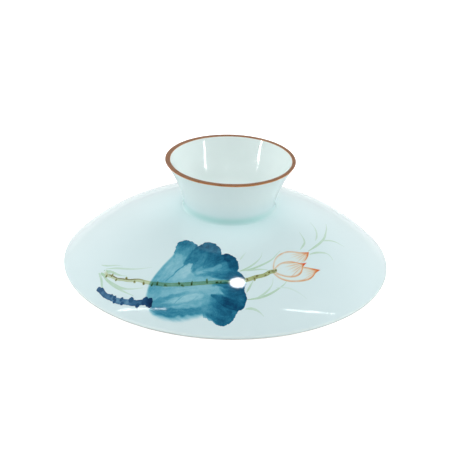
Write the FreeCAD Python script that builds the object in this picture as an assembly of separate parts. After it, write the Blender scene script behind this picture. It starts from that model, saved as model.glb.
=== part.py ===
import FreeCAD, Part

import math
import os

# The lid of a gaiwan, a Chinese lidded tea bowl: a shallow porcelain dome with a flared, hollow
# ring knob luted on top, a pale celadon glaze, an iron-brown edge on the knob, and a lotus painted
# on the front (-Y) half. Millimetres. Z is up, and the origin is the centre of the rim's foot.

V = FreeCAD.Vector
UP = V(0, 0, 1)
AXIS = V(0, 0, 0)

# ---- Driving dimensions: the dome ----
rim_radius = 46.0
edge_top = 1.2            # the dome's curve ends here, on the upright edge
edge_bottom = 0.45        # the glaze stops here, above the bare foot
apex_height = 19.87
fullness = 0.173          # 0 is a plain parabola; more turns the dome down towards its rim
wall_at_apex = 2.6        # porcelain and both glazes
wall_at_rim = 1.5
underside_end = 45.7      # where the underside's curve ends, measured on the outer surface
foot_inner = 44.92        # the flat foot that the lid stands on
foot_outer = 45.45
foot_clay_gap = 0.15      # bare clay that shows under the glaze's lower edge
foot_softening = 0.04     # how far the foot's two bends stand out from a straight chamfer

# ---- Driving dimensions: the coats ----
glaze = 0.3
paint = 0.15
slip = 0.4

# ---- Driving dimensions: the knob ----
knob_offset = 0.6         # the knob is set by eye, a little off the dome's centre
knob_lean = 1.3           # and it leans this many degrees to the back, about its pivot
lean_pivot = 18.5         # height of that pivot, at the knob's base
knob_height = 32.6        # measured along the knob's own axis
band_thickness = 0.2
band_wrap = 0.45          # how far the brown edge comes down the outside
band_rounding = 0.12
collar_radius = 14.6      # the glaze pooled round the knob's base reaches this far
slip_radius = 13.1
clay_bottom = 17.5        # a level inside the dome's wall, below the knob's clay
skirt_bottom = 18.5       # a level inside the pooled glaze, below the knob's upright glaze
well_bottom = 20.0        # a level below the well's floor
above_knob = knob_height + 1

# Radius and height down the outside of the glazed knob, from above its mouth to below its base
knob_outside = [
    (19.0, 33.6), (18.22, 32.3), (16.3, 29.0), (14.65, 25.55), (13.45, 22.45), (12.95, 20.5), (12.8, 17.0),
]
# The same down the inside of the well, to its centre
knob_well = [
    (17.85, 33.6), (17.05, 32.4), (15.3, 29.6), (13.5, 27.3), (11.3, 25.35), (8.5, 23.95), (5.0, 23.45),
    (0.0, 23.4),
]
# The pooled fillet between the knob's wall and the dome: start, middle and end of its arc
pool_arc = [(12.7, 20.0), (13.05, 19.05), (13.8, 18.25)]

# ---- The painting: plan outlines and brush lines, x to the right and y to the back ----
leaf_lobes = [
    [(-13.8, -21.5), (-13.2, -19.2), (-11.0, -18.8), (-8.9, -20.0), (-7.6, -21.6)],
    [(-7.6, -21.6), (-5.5, -20.3), (-3.0, -20.9), (-1.6, -22.7), (-1.1, -24.7)],
    [(-1.1, -24.7), (1.4, -24.9), (3.3, -26.6), (3.6, -29.0), (3.3, -30.0)],
    [(3.3, -30.0), (5.2, -31.4), (5.8, -33.5), (5.2, -35.2)],
    [(5.2, -35.2), (6.0, -37.2), (5.7, -39.3), (3.8, -40.6)],
    [(3.8, -40.6), (1.2, -43.6), (-1.8, -43.6), (-4.8, -42.2)],
    [(-4.8, -42.2), (-10.0, -42.0), (-15.5, -40.8), (-20.3, -37.0), (-21.0, -33.0), (-18.4, -28.2),
     (-13.8, -21.5)],
]
flower_stem = [
    (-33.3, -21.0), (-31.2, -24.2), (-28.0, -26.9), (-22.0, -30.0), (-16.0, -32.6), (-10.0, -33.5),
    (-2.0, -33.5), (5.8, -32.4), (10.0, -30.5), (13.5, -28.4),
]
stem_thorns = [
    (-32.6, -23.0), (-31.0, -23.9), (-29.6, -26.0), (-27.0, -26.8), (-24.8, -29.0), (-22.1, -30.2),
    (-19.8, -31.4), (-18.2, -31.3), (-16.0, -32.9), (-12.2, -32.9), (-9.0, -33.5), (-4.8, -33.1),
    (-1.6, -33.6), (6.2, -32.6), (8.4, -31.5), (11.2, -30.1),
]
cut_stalk = [
    (-35.1, -25.4), (-33.0, -28.4), (-31.0, -30.4), (-28.5, -32.6), (-25.5, -34.2), (-22.0, -35.4),
    (-20.3, -36.0),
]
left_grass = [
    [(-34.4, -18.2), (-32.5, -19.8), (-30.0, -21.2), (-28.3, -22.4)],
    [(-33.0, -20.6), (-30.0, -22.2), (-27.0, -24.0), (-23.5, -25.5), (-20.0, -26.2)],
    [(-34.8, -21.5), (-34.2, -23.0), (-33.8, -25.5), (-32.8, -28.0)],
    [(-34.0, -21.7), (-32.5, -24.5), (-30.5, -27.0), (-28.5, -29.0), (-25.5, -30.7), (-22.3, -31.6)],
    [(-33.2, -20.9), (-31.0, -23.0), (-29.0, -25.0), (-27.0, -26.2)],
]
right_grass = [
    [(3.8, -30.0), (6.5, -29.2), (9.0, -27.8), (11.0, -26.3), (12.8, -24.5), (14.0, -22.5), (15.0, -20.8)],
    [(4.0, -29.9), (6.0, -28.8), (7.5, -27.5), (8.8, -26.0), (9.8, -24.0), (10.0, -22.8)],
    [(4.5, -29.8), (8.0, -29.0), (11.0, -28.4), (13.0, -28.6)],
    [(6.0, -35.8), (7.0, -33.8), (7.8, -32.2)],
    [(6.2, -37.6), (8.5, -37.0), (10.5, -36.2), (13.0, -34.6), (15.0, -32.8), (16.5, -31.0), (17.4, -29.2)],
    [(8.5, -37.0), (10.5, -35.6), (12.0, -34.0), (13.0, -32.0), (13.1, -30.5)],
    [(5.8, -39.9), (7.5, -39.6), (9.5, -40.0), (10.8, -40.8)],
]
upper_grass = [
    [(20.6, -18.2), (21.3, -16.5), (21.8, -14.5), (21.3, -12.6), (20.4, -10.8)],
    [(22.8, -17.8), (24.2, -15.8), (26.6, -11.5), (27.9, -6.5), (28.2, -3.5), (28.1, -1.0)],
    [(24.9, -12.2), (25.3, -10.0), (25.2, -7.5), (24.6, -5.5), (23.5, -3.8)],
    [(27.0, -11.0), (28.5, -9.6), (31.0, -8.5), (33.3, -8.7)],
    [(23.2, -18.8), (25.0, -17.2), (27.0, -16.0), (28.3, -15.7), (29.8, -17.2)],
]
# Each petal is two sides that meet at its tip, the last point of the first side
bud_petals = [
    ([(13.4, -28.0), (13.4, -24.0), (17.5, -20.1), (20.5, -19.3), (22.9, -18.2)],
     [(22.9, -18.2), (22.5, -20.8), (20.6, -24.0), (13.4, -28.0)]),
    ([(13.8, -28.2), (14.6, -26.0), (16.5, -24.2), (19.0, -23.4), (22.2, -22.5)],
     [(22.2, -22.5), (21.3, -24.2), (21.0, -26.0), (18.0, -28.8), (15.8, -29.2), (13.8, -28.2)]),
    ([(14.2, -29.1), (18.5, -27.0), (21.3, -24.4), (26.0, -23.0)],
     [(26.0, -23.0), (24.0, -26.5), (19.5, -29.6), (16.5, -30.3), (14.2, -29.1)]),
]
stem_widths = (0.5, 1.1)
stalk_widths = (0.9, 1.5)
grass_widths = (0.6, 0.2)
thorn_length = 1.1
thorn_width = 0.45
thorn_turns = (40, 115, 190)      # degrees, used in turn along the stem
red_tip_radius = 2.0
paint_margin = 1.0                # the painting stays this far in from the rim
least_volume = 0.02               # a sliver of paint smaller than this is left out
curve_steps = 14                  # points along a curve that follows the dome


# ---- Curves and solids of revolution ----
def dome_height(r):
    """Height of the dome's glazed outer surface: a parabola blended with a sixth power."""
    u = r / rim_radius
    shape = (1 - fullness) * (1 - u ** 2) + fullness * (1 - u ** 6)
    return edge_top + (apex_height - edge_top) * shape


def dome_slope(r):
    u = r / rim_radius
    return -(apex_height - edge_top) * (2 * (1 - fullness) * u + 6 * fullness * u ** 5) / rim_radius


def dome_point(r, lift):
    """The point that stands off the dome's outer surface by lift, square to it."""
    slope = dome_slope(r)
    run = math.hypot(1.0, slope)
    return V(r - lift * slope / run, 0, dome_height(r) + lift / run)


def wall(r):
    return wall_at_apex + (wall_at_rim - wall_at_apex) * (r / rim_radius) ** 2


def dome_curve(start, end, lift):
    """A smooth edge along the dome from radius start to end; lift(r) is its distance off it."""
    radii = [start + (end - start) * i / curve_steps for i in range(curve_steps + 1)]
    curve = Part.BSplineCurve()
    curve.interpolate(Points=[dome_point(r, lift(r)) for r in radii])
    return curve.toShape()


def line(a, b):
    return Part.LineSegment(a, b).toShape()


def arc(a, middle, b):
    return Part.Arc(a, middle, b).toShape()


def spun(edges, x=0.0):
    """The solid made by turning a closed profile about the upright axis at x."""
    profile = Part.Face(Part.Wire(Part.__sortEdges__(edges)))
    solid = profile.revolve(AXIS, UP, 360)
    solid.translate(V(x, 0, 0))
    return solid


def profile_curve(points, shift=0.0):
    """A spline through radius-height points, moved sideways by shift to its left.

    It ends level where it ends on the axis, and upright elsewhere.
    """
    places = [V(r, 0, z) for r, z in points]
    start_tangent = (places[1] - places[0]).normalize()
    end_tangent = V(-1, 0, 0) if points[-1][0] == 0 else V(0, 0, -1)
    curve = Part.BSplineCurve()
    curve.interpolate(Points=places, InitialTangent=start_tangent, FinalTangent=end_tangent)
    if not shift:
        return curve
    first, last = curve.FirstParameter, curve.LastParameter
    steps = 3 * len(points)
    moved = []
    for i in range(steps + 1):
        t = first + (last - first) * i / steps
        along = curve.tangent(t)[0]
        moved.append(curve.value(t) + V(-along.z, 0, along.x) * shift)
    result = Part.BSplineCurve()
    result.interpolate(Points=moved)
    return result


def inside_of(curve, low, high):
    """The solid between the knob's axis and a curve that runs from above high to below low.

    It leans as the knob does. Its seam is turned a quarter round, clear of the dome's seam.
    """
    top, bottom = curve.StartPoint, curve.EndPoint
    edges = [
        curve.toShape(),
        line(V(0, 0, bottom.z), V(0, 0, top.z)),
        line(V(0, 0, top.z), top),
    ]
    on_axis = bottom.x < 1e-6
    if not on_axis:
        edges.append(line(bottom, V(0, 0, bottom.z)))
    upright = slice_between(spun(edges, knob_offset), low, high)
    upright.rotate(V(knob_offset, 0, 0), UP, 90)
    upright.rotate(V(0, 0, lean_pivot), V(1, 0, 0), -knob_lean)
    return upright


def slice_between(shape, low, high):
    return shape.common(Part.makeCylinder(2 * rim_radius, high - low, V(0, 0, low)))


def under_dome(lift):
    """Everything below the surface that stands off the dome by lift, out to well past the knob."""
    reach = 1.8 * collar_radius
    outer = dome_point(reach, lift)
    edges = [
        dome_curve(0, reach, lambda r: lift),
        line(outer, V(outer.x, 0, 0)),
        line(V(outer.x, 0, 0), AXIS),
        line(AXIS, dome_point(0, lift)),
    ]
    return spun(edges)


# ---- The dome's pieces ----
glaze_foot = V(rim_radius, 0, edge_bottom)
body_edge = dome_point(rim_radius, -glaze)
body_foot = V(body_edge.x, 0, edge_bottom - foot_clay_gap)
under_skin_end = dome_point(underside_end, -wall(underside_end))
under_body_end = dome_point(underside_end, glaze - wall(underside_end))


def make_lid_plate():
    inner_foot = V(foot_inner, 0, 0)
    outer_foot = V(foot_outer, 0, 0)
    inner_bend = (under_skin_end + inner_foot) * 0.5 + V(-foot_softening, 0, -foot_softening)
    outer_bend = (body_foot + outer_foot) * 0.5 + V(foot_softening, 0, -foot_softening)
    return spun([
        dome_curve(0, rim_radius, lambda r: -glaze),
        line(body_edge, body_foot),
        arc(body_foot, outer_bend, outer_foot),
        line(outer_foot, inner_foot),
        arc(inner_foot, inner_bend, under_skin_end),
        line(under_skin_end, under_body_end),
        dome_curve(0, underside_end, lambda r: glaze - wall(r)),
        line(dome_point(0, glaze - wall_at_apex), dome_point(0, -glaze)),
    ])


def make_glaze_upper():
    coat = spun([
        dome_curve(0, rim_radius, lambda r: 0.0),
        line(dome_point(rim_radius, 0), glaze_foot),
        line(glaze_foot, body_foot),
        line(body_foot, body_edge),
        dome_curve(0, rim_radius, lambda r: -glaze),
        line(dome_point(0, -glaze), dome_point(0, 0)),
    ])
    return coat.cut(Part.makeCylinder(collar_radius, 2 * knob_height, V(knob_offset, 0, 0)))


def make_glaze_under():
    return spun([
        dome_curve(0, underside_end, lambda r: glaze - wall(r)),
        line(under_body_end, under_skin_end),
        dome_curve(0, underside_end, lambda r: -wall(r)),
        line(dome_point(0, -wall_at_apex), dome_point(0, glaze - wall_at_apex)),
    ])


# ---- The knob's pieces ----
band_bottom = knob_height - band_wrap
clay_top = knob_height - band_thickness
outside = profile_curve(knob_outside)
outside_clay = profile_curve(knob_outside, -glaze)
well = profile_curve(knob_well)
well_clay = profile_curve(knob_well, glaze)


def make_slip():
    disc = Part.makeCylinder(slip_radius, knob_height, V(knob_offset, 0, 0))
    return under_dome(slip - glaze).common(disc).cut(under_dome(-glaze))


def make_knob_cup():
    blank = inside_of(outside_clay, clay_bottom, clay_top)
    return blank.cut(inside_of(well_clay, well_bottom, above_knob)).cut(under_dome(slip - glaze))


def make_knob_glaze_outer(slip_ring):
    start, middle, end = [V(r, 0, z) for r, z in pool_arc]
    skirt = spun([
        arc(start, middle, end),
        line(end, V(0, 0, end.z)),
        line(V(0, 0, end.z), V(0, 0, start.z)),
        line(V(0, 0, start.z), start),
    ], knob_offset)
    collar = Part.makeCylinder(collar_radius, knob_height, V(knob_offset, 0, 0))
    pooled = skirt.fuse(under_dome(0.0).common(collar))
    coat = inside_of(outside, skirt_bottom, band_bottom).fuse(pooled)
    for taken in (inside_of(outside_clay, clay_bottom, clay_top), under_dome(-glaze), slip_ring):
        coat = coat.cut(taken)
    return coat


def make_knob_glaze_well():
    return inside_of(well_clay, well_bottom, clay_top).cut(inside_of(well, well_bottom, clay_top))


def make_rim_band():
    cap = inside_of(outside, band_bottom, knob_height)
    clay = inside_of(outside_clay, band_bottom, clay_top)
    hollow = inside_of(well, well_bottom, above_knob)
    hollow_clay = inside_of(well_clay, well_bottom, clay_top)
    band = cap.cut(clay).cut(hollow).cut(hollow_clay).removeSplitter()
    top_face = max(band.Faces, key=lambda face: face.CenterOfMass.z)
    return band.Solids[0].makeFillet(band_rounding, top_face.Edges)


# ---- The painting ----
def spline_through(points):
    curve = Part.BSplineCurve()
    curve.interpolate(Points=[V(x, y, 0) for x, y in points])
    return curve


def outline(sides):
    """A flat face whose border is one spline for each side, in order."""
    return Part.Face(Part.Wire([spline_through(side).toShape() for side in sides]))


def brush_line(points, widths):
    """A flat ribbon along a spline, its width changing evenly from widths[0] to widths[1]."""
    curve = spline_through(points)
    first, last = curve.FirstParameter, curve.LastParameter
    steps = 2 * len(points)
    sides = ([], [])
    for i in range(steps + 1):
        t = first + (last - first) * i / steps
        half = 0.5 * (widths[0] + (widths[1] - widths[0]) * i / steps)
        along = curve.tangent(t)[0]
        across = V(-along.y, along.x, 0) * half
        sides[0].append(curve.value(t) + across)
        sides[1].append(curve.value(t) - across)
    edges = []
    for side in sides:
        edge = Part.BSplineCurve()
        edge.interpolate(Points=side)
        edges.append(edge.toShape())
    edges.insert(1, line(sides[0][-1], sides[1][-1]))
    edges.append(line(sides[1][0], sides[0][0]))
    return Part.Face(Part.Wire(Part.__sortEdges__(edges)))


def thorn(x, y, turn):
    """A short leaf-shaped dab, pointed at both ends."""
    reach = thorn_length / 2
    ends = V(x - reach, y, 0), V(x + reach, y, 0)
    bulge = V(x, y + thorn_width / 2, 0), V(x, y - thorn_width / 2, 0)
    face = Part.Face(Part.Wire([arc(ends[0], bulge[0], ends[1]), arc(ends[1], bulge[1], ends[0])]))
    face.rotate(V(x, y, 0), UP, turn)
    return face


def joined(faces):
    if len(faces) == 1:
        return faces[0]
    return faces[0].multiFuse(faces[1:]).removeSplitter()


def painting():
    """Flat shapes of each pigment, front layers first; each is cut by all those before it."""
    petals = [outline(sides) for sides in bud_petals]
    tips = [
        petal.common(Part.Face(Part.Wire(Part.makeCircle(red_tip_radius, V(*sides[0][-1], 0)))))
        for petal, sides in zip(petals, bud_petals)
    ]
    thorns = [thorn(x, y, thorn_turns[i % len(thorn_turns)]) for i, (x, y) in enumerate(stem_thorns)]
    layers = [
        ("bud_tips", joined(tips)),
        ("lotus_bud", joined(petals)),
        ("stem_thorns", joined(thorns)),
        ("flower_stem", brush_line(flower_stem, stem_widths)),
        ("cut_stalk", brush_line(cut_stalk, stalk_widths)),
        ("lotus_leaf", outline(leaf_lobes)),
        ("grass_left", joined([brush_line(blade, grass_widths) for blade in left_grass])),
        ("grass_right", joined([brush_line(blade, grass_widths) for blade in right_grass])),
        ("grass_upper", joined([brush_line(blade, grass_widths) for blade in upper_grass])),
    ]
    cut = []
    for name, flat in layers:
        for _, above in cut:
            flat = flat.cut(above)
        cut.append((name, flat))
    return cut


def paint_film():
    """The thin layer that all the painting lies in, on the dome's glaze."""
    start, end = collar_radius, rim_radius - paint_margin
    return spun([
        dome_curve(start, end, lambda r: 0.0),
        line(dome_point(end, 0), dome_point(end, paint)),
        dome_curve(start, end, lambda r: paint),
        line(dome_point(start, paint), dome_point(start, 0)),
    ])


def make_painting():
    film = paint_film()
    pieces = {}
    for name, flat in painting():
        solids = []
        for face in flat.Faces:
            prism = face.extrude(V(0, 0, knob_height))
            solids += [s for s in film.common(prism).Solids if s.Volume > least_volume]
        pieces[name] = Part.makeCompound(solids)
    return pieces


# ---- Write one STEP file per node ----
slip_ring = make_slip()
nodes = {
    "lid_plate": make_lid_plate(),
    "knob_cup": make_knob_cup(),
    "luting_slip": slip_ring,
    "glaze_upper": make_glaze_upper(),
    "glaze_under": make_glaze_under(),
    "glaze_knob_outer": make_knob_glaze_outer(slip_ring),
    "glaze_knob_well": make_knob_glaze_well(),
    "knob_rim_band": make_rim_band(),
}
nodes.update(make_painting())

os.makedirs("parts", exist_ok=True)
for name, shape in nodes.items():
    if len(shape.Solids) == 1:
        shape = shape.Solids[0]
    shape.exportStep("parts/" + name + ".step")
    box = shape.BoundBox
    print(f"{name:18s} solids {len(shape.Solids):2d}  volume {shape.Volume:9.2f}  valid {shape.isValid()}"
          f"  z {box.ZMin:.2f} to {box.ZMax:.2f}")
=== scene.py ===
"""The glazed and painted surfaces of a gaiwan lid, built around its CAD frame. Metres, Z up."""

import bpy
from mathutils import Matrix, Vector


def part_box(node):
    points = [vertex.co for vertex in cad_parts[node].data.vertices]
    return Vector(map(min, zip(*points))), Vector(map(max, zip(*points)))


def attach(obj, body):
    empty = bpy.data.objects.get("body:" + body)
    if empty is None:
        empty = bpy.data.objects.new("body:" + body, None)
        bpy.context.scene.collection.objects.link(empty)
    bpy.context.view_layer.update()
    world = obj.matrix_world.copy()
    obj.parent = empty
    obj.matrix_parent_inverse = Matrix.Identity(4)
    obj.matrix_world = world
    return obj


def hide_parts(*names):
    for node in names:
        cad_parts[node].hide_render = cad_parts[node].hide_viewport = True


bl_info = {
    "name": "Gaiwan lid",
    "version": (1, 0, 0),
    "blender": (4, 5, 0),
    "location": "3D View > Sidebar > Gaiwan lid",
    "description": "Builds a porcelain lid's glaze coats, brown ring edge and lotus painting",
    "category": "Add Mesh",
}

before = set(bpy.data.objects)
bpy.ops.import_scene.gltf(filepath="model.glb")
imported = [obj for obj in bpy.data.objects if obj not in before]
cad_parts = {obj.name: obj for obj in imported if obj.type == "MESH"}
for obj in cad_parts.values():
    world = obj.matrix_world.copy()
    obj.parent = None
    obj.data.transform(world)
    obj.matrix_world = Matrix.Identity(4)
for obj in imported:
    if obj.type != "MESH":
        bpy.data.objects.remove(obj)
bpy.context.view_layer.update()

import math

import bpy
import numpy as np
from bpy.props import FloatProperty, FloatVectorProperty, PointerProperty
from mathutils import Matrix, Vector

BODY = "root"
MM = 0.001

RIM_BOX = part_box("glaze_upper")
BAND_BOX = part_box("knob_rim_band")
CLAY_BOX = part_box("lid_plate")
GLAZE_THICKNESS = 0.3 * MM

# The knob leans to the back about a pivot at its base
KNOB_LEAN = math.radians(1.3)
LEAN_PIVOT = 18.5 * MM
RING_RADIUS = (BAND_BOX[1].x - BAND_BOX[0].x) / 2
RING_RISE = BAND_BOX[1].z - LEAN_PIVOT - RING_RADIUS * math.sin(KNOB_LEAN)
RING_TOP = LEAN_PIVOT + RING_RISE / math.cos(KNOB_LEAN)
KNOB_OFFSET = (BAND_BOX[0].x + BAND_BOX[1].x) / 2
CORNER_ANGLE = math.radians(50)     # edges sharper than this are shaded as corners
NOISE_CELLS = 64                    # the noise repeats after this many cells


# ---------------------------------------------------------------------------------------------
# Settings
# ---------------------------------------------------------------------------------------------
def length(name, description, default):
    return FloatProperty(name=name, description=description, default=default, unit="LENGTH", precision=5)


def colour(name, description, default):
    return FloatVectorProperty(
        name=name, description=description, default=default, subtype="COLOR", size=3, min=0.0, max=1.0,
    )


class LidShape(bpy.types.PropertyGroup):
    """Sizes of the dome and its knob, which start as the CAD frame has them."""

    rim_radius: length("Rim radius", "Radius of the dome at its upright edge", RIM_BOX[1].x)
    edge_top: length("Edge top", "Height at which the dome's curve meets the upright edge", 1.2 * MM)
    apex: length("Apex", "Height of the glazed dome under the knob", CLAY_BOX[1].z + GLAZE_THICKNESS)
    glaze: length("Glaze", "Thickness of the glaze coats", GLAZE_THICKNESS)
    fullness: FloatProperty(
        name="Fullness", description="How much the dome turns down towards its rim",
        default=0.173, min=0, max=1,
    )
    knob_x: length("Knob offset", "How far the knob's axis is from the dome's", KNOB_OFFSET)
    knob_top: length("Knob top", "Height of the knob's ring along the knob's own axis", RING_TOP)
    ring_radius: length("Ring radius", "Outer radius of the knob's ring", RING_RADIUS)
    ring_width: length("Ring width", "Width of the ring's flat top", 1.22 * MM)
    collar: length("Collar", "Radius where the pooled glaze round the knob runs out on the dome", 14.6 * MM)


class GlazeColours(bpy.types.PropertyGroup):
    """Colours of the fired clay, the glaze and the brown edge."""

    clear: colour("Glaze", "The celadon glaze where it is even", (0.675, 0.822, 0.842))
    pooled: colour("Pooled glaze", "The glaze where it has pooled thickly", (0.36, 0.65, 0.635))
    thin: colour("Thin glaze", "The glaze where it is thin, on the knob and at edges", (0.765, 0.868, 0.848))
    clay: colour("Clay", "The bare fired porcelain", (0.80, 0.79, 0.74))
    iron: colour("Iron wash", "The brown wash on the knob's ring", (0.240, 0.108, 0.046))
    iron_edge: colour("Iron edge", "The brown wash where it thins out", (0.60, 0.25, 0.085))


class PaintColours(bpy.types.PropertyGroup):
    """What each pigment lets through at full strength, over the glaze."""

    cobalt: colour("Cobalt", "Blue of the leaf", (0.045, 0.255, 0.385))
    navy: colour("Navy", "Dark blue of the cut stalk", (0.012, 0.060, 0.160))
    olive: colour("Olive", "Green of the flower's stem", (0.44, 0.43, 0.14))
    umber: colour("Umber", "Brown of the thorns", (0.16, 0.12, 0.05))
    coral: colour("Coral", "Red of the petals' lines and tips", (1.0, 0.235, 0.07))
    grass: colour("Grass", "Pale green of the blades", (0.60, 0.74, 0.52))


class StageSetup(bpy.types.PropertyGroup):
    """The camera and the light."""

    distance: length("Distance", "From the camera to the middle of the rim's foot", 0.7188)
    elevation: FloatProperty(
        name="Elevation", description="Height of the camera above the horizon",
        default=math.radians(26.73), subtype="ANGLE",
    )
    roll: FloatProperty(
        name="Roll", description="Turn of the camera about its own line of sight",
        default=math.radians(1.654), subtype="ANGLE",
    )
    lens: FloatProperty(
        name="Lens", description="Focal length on a 36 mm sensor", default=201.3, unit="CAMERA",
    )
    aim_x: length("Aim across", "Where the camera aims, across", -0.427 * MM)
    aim_z: length("Aim height", "Where the camera aims, in height", 12.28 * MM)
    sky: FloatProperty(name="Sky", description="Light from the white surroundings", default=0.12)
    horizon: FloatProperty(
        name="Horizon", description="Strength of the low surroundings in the glaze", default=0.87,
    )
    overhead: FloatProperty(
        name="Overhead", description="Strength of the high surroundings in the glaze", default=0.10,
    )


# ---------------------------------------------------------------------------------------------
# Curves, noise and meshes
# ---------------------------------------------------------------------------------------------
def spline(points, count):
    """A natural cubic spline through the points, sampled at count places evenly along its length.

    Each stretch is the cubic whose second derivative runs evenly from one end's value to the
    other's. Equal slopes on both sides of every point give one linear equation for each point.
    """
    p = np.asarray(points, float)
    step = np.maximum(np.linalg.norm(np.diff(p, axis=0), axis=1), 1e-9)
    knots = np.concatenate(([0.0], np.cumsum(step)))
    n = len(p)
    system = np.eye(n)
    right = np.zeros_like(p)
    inner = np.arange(1, n - 1)
    system[inner, inner - 1] = step[:-1]
    system[inner, inner] = 2 * (step[:-1] + step[1:])
    system[inner, inner + 1] = step[1:]
    slopes = np.diff(p, axis=0) / step[:, None]
    right[inner] = 6 * np.diff(slopes, axis=0)
    bend = np.linalg.solve(system, right)

    def at(t):
        i = np.clip(np.searchsorted(knots, t, side="right") - 1, 0, n - 2)
        h = step[i][:, None]
        a = (knots[i + 1] - t)[:, None] / h
        b = 1 - a
        return a * p[i] + b * p[i + 1] + ((a ** 3 - a) * bend[i] + (b ** 3 - b) * bend[i + 1]) * h ** 2 / 6

    t = np.linspace(0, knots[-1], 6 * count)
    run = np.concatenate(([0.0], np.cumsum(np.linalg.norm(np.diff(at(t), axis=0), axis=1))))
    return at(np.interp(np.linspace(0, run[-1], count), run, t))


def ease(x):
    """0 below 0, 1 above 1, and a smooth cubic step between."""
    x = np.clip(x, 0.0, 1.0)
    return x * x * (3 - 2 * x)


def noise(u, v, seed):
    """Smooth random field of two coordinates, from -1 to 1: random values on a grid, eased between."""
    grid = np.random.default_rng(seed).uniform(-1, 1, (NOISE_CELLS, NOISE_CELLS))
    cell_u, cell_v = np.floor(u).astype(int), np.floor(v).astype(int)
    fu, fv = ease(u - cell_u), ease(v - cell_v)

    def corner(i, j):
        return grid[(cell_u + i) % NOISE_CELLS, (cell_v + j) % NOISE_CELLS]

    near = corner(0, 0) * (1 - fu) + corner(1, 0) * fu
    far = corner(0, 1) * (1 - fu) + corner(1, 1) * fu
    return near * (1 - fv) + far * fv


def waver(t, seed):
    """A slow wave of t, from about -1 to 1: three sines of unrelated lengths and seeded phases."""
    phase = np.random.default_rng(seed).uniform(0, 2 * math.pi, 3)
    return (np.sin(t + phase[0]) + 0.6 * np.sin(2.3 * t + phase[1]) + 0.4 * np.sin(4.1 * t + phase[2])) / 2


class Mesh:
    """Points, faces and point values of a piece, gathered from one or more closed forms."""

    def __init__(self):
        self.points, self.quads, self.triangles, self.values = [], [], [], {}
        self.count = 0

    def add(self, points, quads, triangles=None, **values):
        """Adds a closed form, turned so that its faces point outwards: its signed volume is positive."""
        points = np.asarray(points, float)
        triangles = np.zeros((0, 3), int) if triangles is None else triangles
        corners = np.concatenate((quads[:, [0, 1, 2]], quads[:, [0, 2, 3]], triangles))
        local = points - points.mean(axis=0)
        a, b, c = (local[corners[:, k]] for k in range(3))
        if np.einsum("ij,ij->i", a, np.cross(b, c)).sum() < 0:
            quads, triangles = quads[:, ::-1], triangles[:, ::-1]
        self.quads.append(quads + self.count)
        self.triangles.append(triangles + self.count)
        self.points.append(points)
        for name, value in values.items():
            whole = self.values.setdefault(name, np.zeros(0))
            whole = np.concatenate((whole, np.zeros(self.count - len(whole)), value))
            self.values[name] = whole
        self.count += len(points)

    def build(self, name, material, slot, *nodes):
        """Makes the object, shades it smooth except at corners, and lets it stand for CAD nodes."""
        points = np.concatenate(self.points)
        quads, triangles = np.concatenate(self.quads), np.concatenate(self.triangles)
        loops = np.concatenate((quads.ravel(), triangles.ravel()))
        starts = np.concatenate((
            np.arange(len(quads)) * 4, len(quads) * 4 + np.arange(len(triangles)) * 3,
        ))
        mesh = bpy.data.meshes.new(name)
        mesh.vertices.add(len(points))
        mesh.vertices.foreach_set("co", points.astype(np.float32).ravel())
        mesh.loops.add(len(loops))
        mesh.loops.foreach_set("vertex_index", loops.astype(np.int32))
        mesh.polygons.add(len(starts))
        mesh.polygons.foreach_set("loop_start", starts.astype(np.int32))
        mesh.update(calc_edges=True)
        mesh.validate()
        for key, value in self.values.items():
            whole = np.concatenate((value, np.zeros(self.count - len(value))))
            layer = mesh.attributes.new(key, "FLOAT", "POINT")
            layer.data.foreach_set("value", whole.astype(np.float32))
        mesh.shade_smooth()
        mesh.set_sharp_from_angle(angle=CORNER_ANGLE)
        mesh.materials.append(material)
        piece = bpy.data.objects.new(name, mesh)
        bpy.context.scene.collection.objects.link(piece)
        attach(piece, BODY)
        if nodes:
            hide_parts(*nodes)
        return piece


def grid_quads(rows, columns, wrap_rows=False, wrap_columns=False):
    """Corner numbers of the quads of a grid of points, rows by columns, that may close on itself."""
    r = np.arange(rows if wrap_rows else rows - 1)[:, None]
    c = np.arange(columns if wrap_columns else columns - 1)[None, :]
    r2, c2 = (r + 1) % rows, (c + 1) % columns
    corners = (r * columns + c, r * columns + c2, r2 * columns + c2, r2 * columns + c)
    return np.stack(corners, -1).reshape(-1, 4)


def ring_form(rows):
    """A closed tube: rows of points round the axis, the last row joined to the first."""
    n, m = rows.shape[:2]
    return rows.reshape(-1, 3), grid_quads(n, m, True, True)


def poled_form(rows):
    """A closed form like a globe: the first and last rows are drawn in to one point each."""
    n, m = rows.shape[:2]
    body = rows[1:-1].reshape(-1, 3)
    points = np.concatenate((body, rows[:1, :1].reshape(1, 3), rows[-1:, :1].reshape(1, 3)))
    quads = grid_quads(n - 2, m, False, True)
    around = np.arange(m)
    after = (around + 1) % m
    last = (n - 3) * m
    first_fan = np.stack((np.full(m, len(body)), after, around), -1)
    last_fan = np.stack((np.full(m, len(body) + 1), last + around, last + after), -1)
    return points, quads, np.concatenate((first_fan, last_fan))


def slab_form(top, bottom):
    """A closed plate between two grids of the same shape, with walls round their borders."""
    n, m = top.shape[:2]
    upper = grid_quads(n, m)
    across, along = np.arange(m), np.arange(n) * m
    border = np.concatenate((across, along[1:] + m - 1, across[::-1][1:] + along[-1], along[::-1][1:-1]))
    after = np.roll(border, -1)
    under = n * m
    walls = np.stack((border, border + under, after + under, after), -1)
    quads = np.concatenate((upper, upper[:, ::-1] + under, walls))
    return np.concatenate((top.reshape(-1, 3), bottom.reshape(-1, 3))), quads


# ---------------------------------------------------------------------------------------------
# The dome's surface
# ---------------------------------------------------------------------------------------------
def dome_height(shape, r):
    """Height of the glazed dome at radius r: a parabola blended with a sixth power."""
    u = r / shape.rim_radius
    return shape.edge_top + (shape.apex - shape.edge_top) * (
        (1 - shape.fullness) * (1 - u ** 2) + shape.fullness * (1 - u ** 6)
    )


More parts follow.
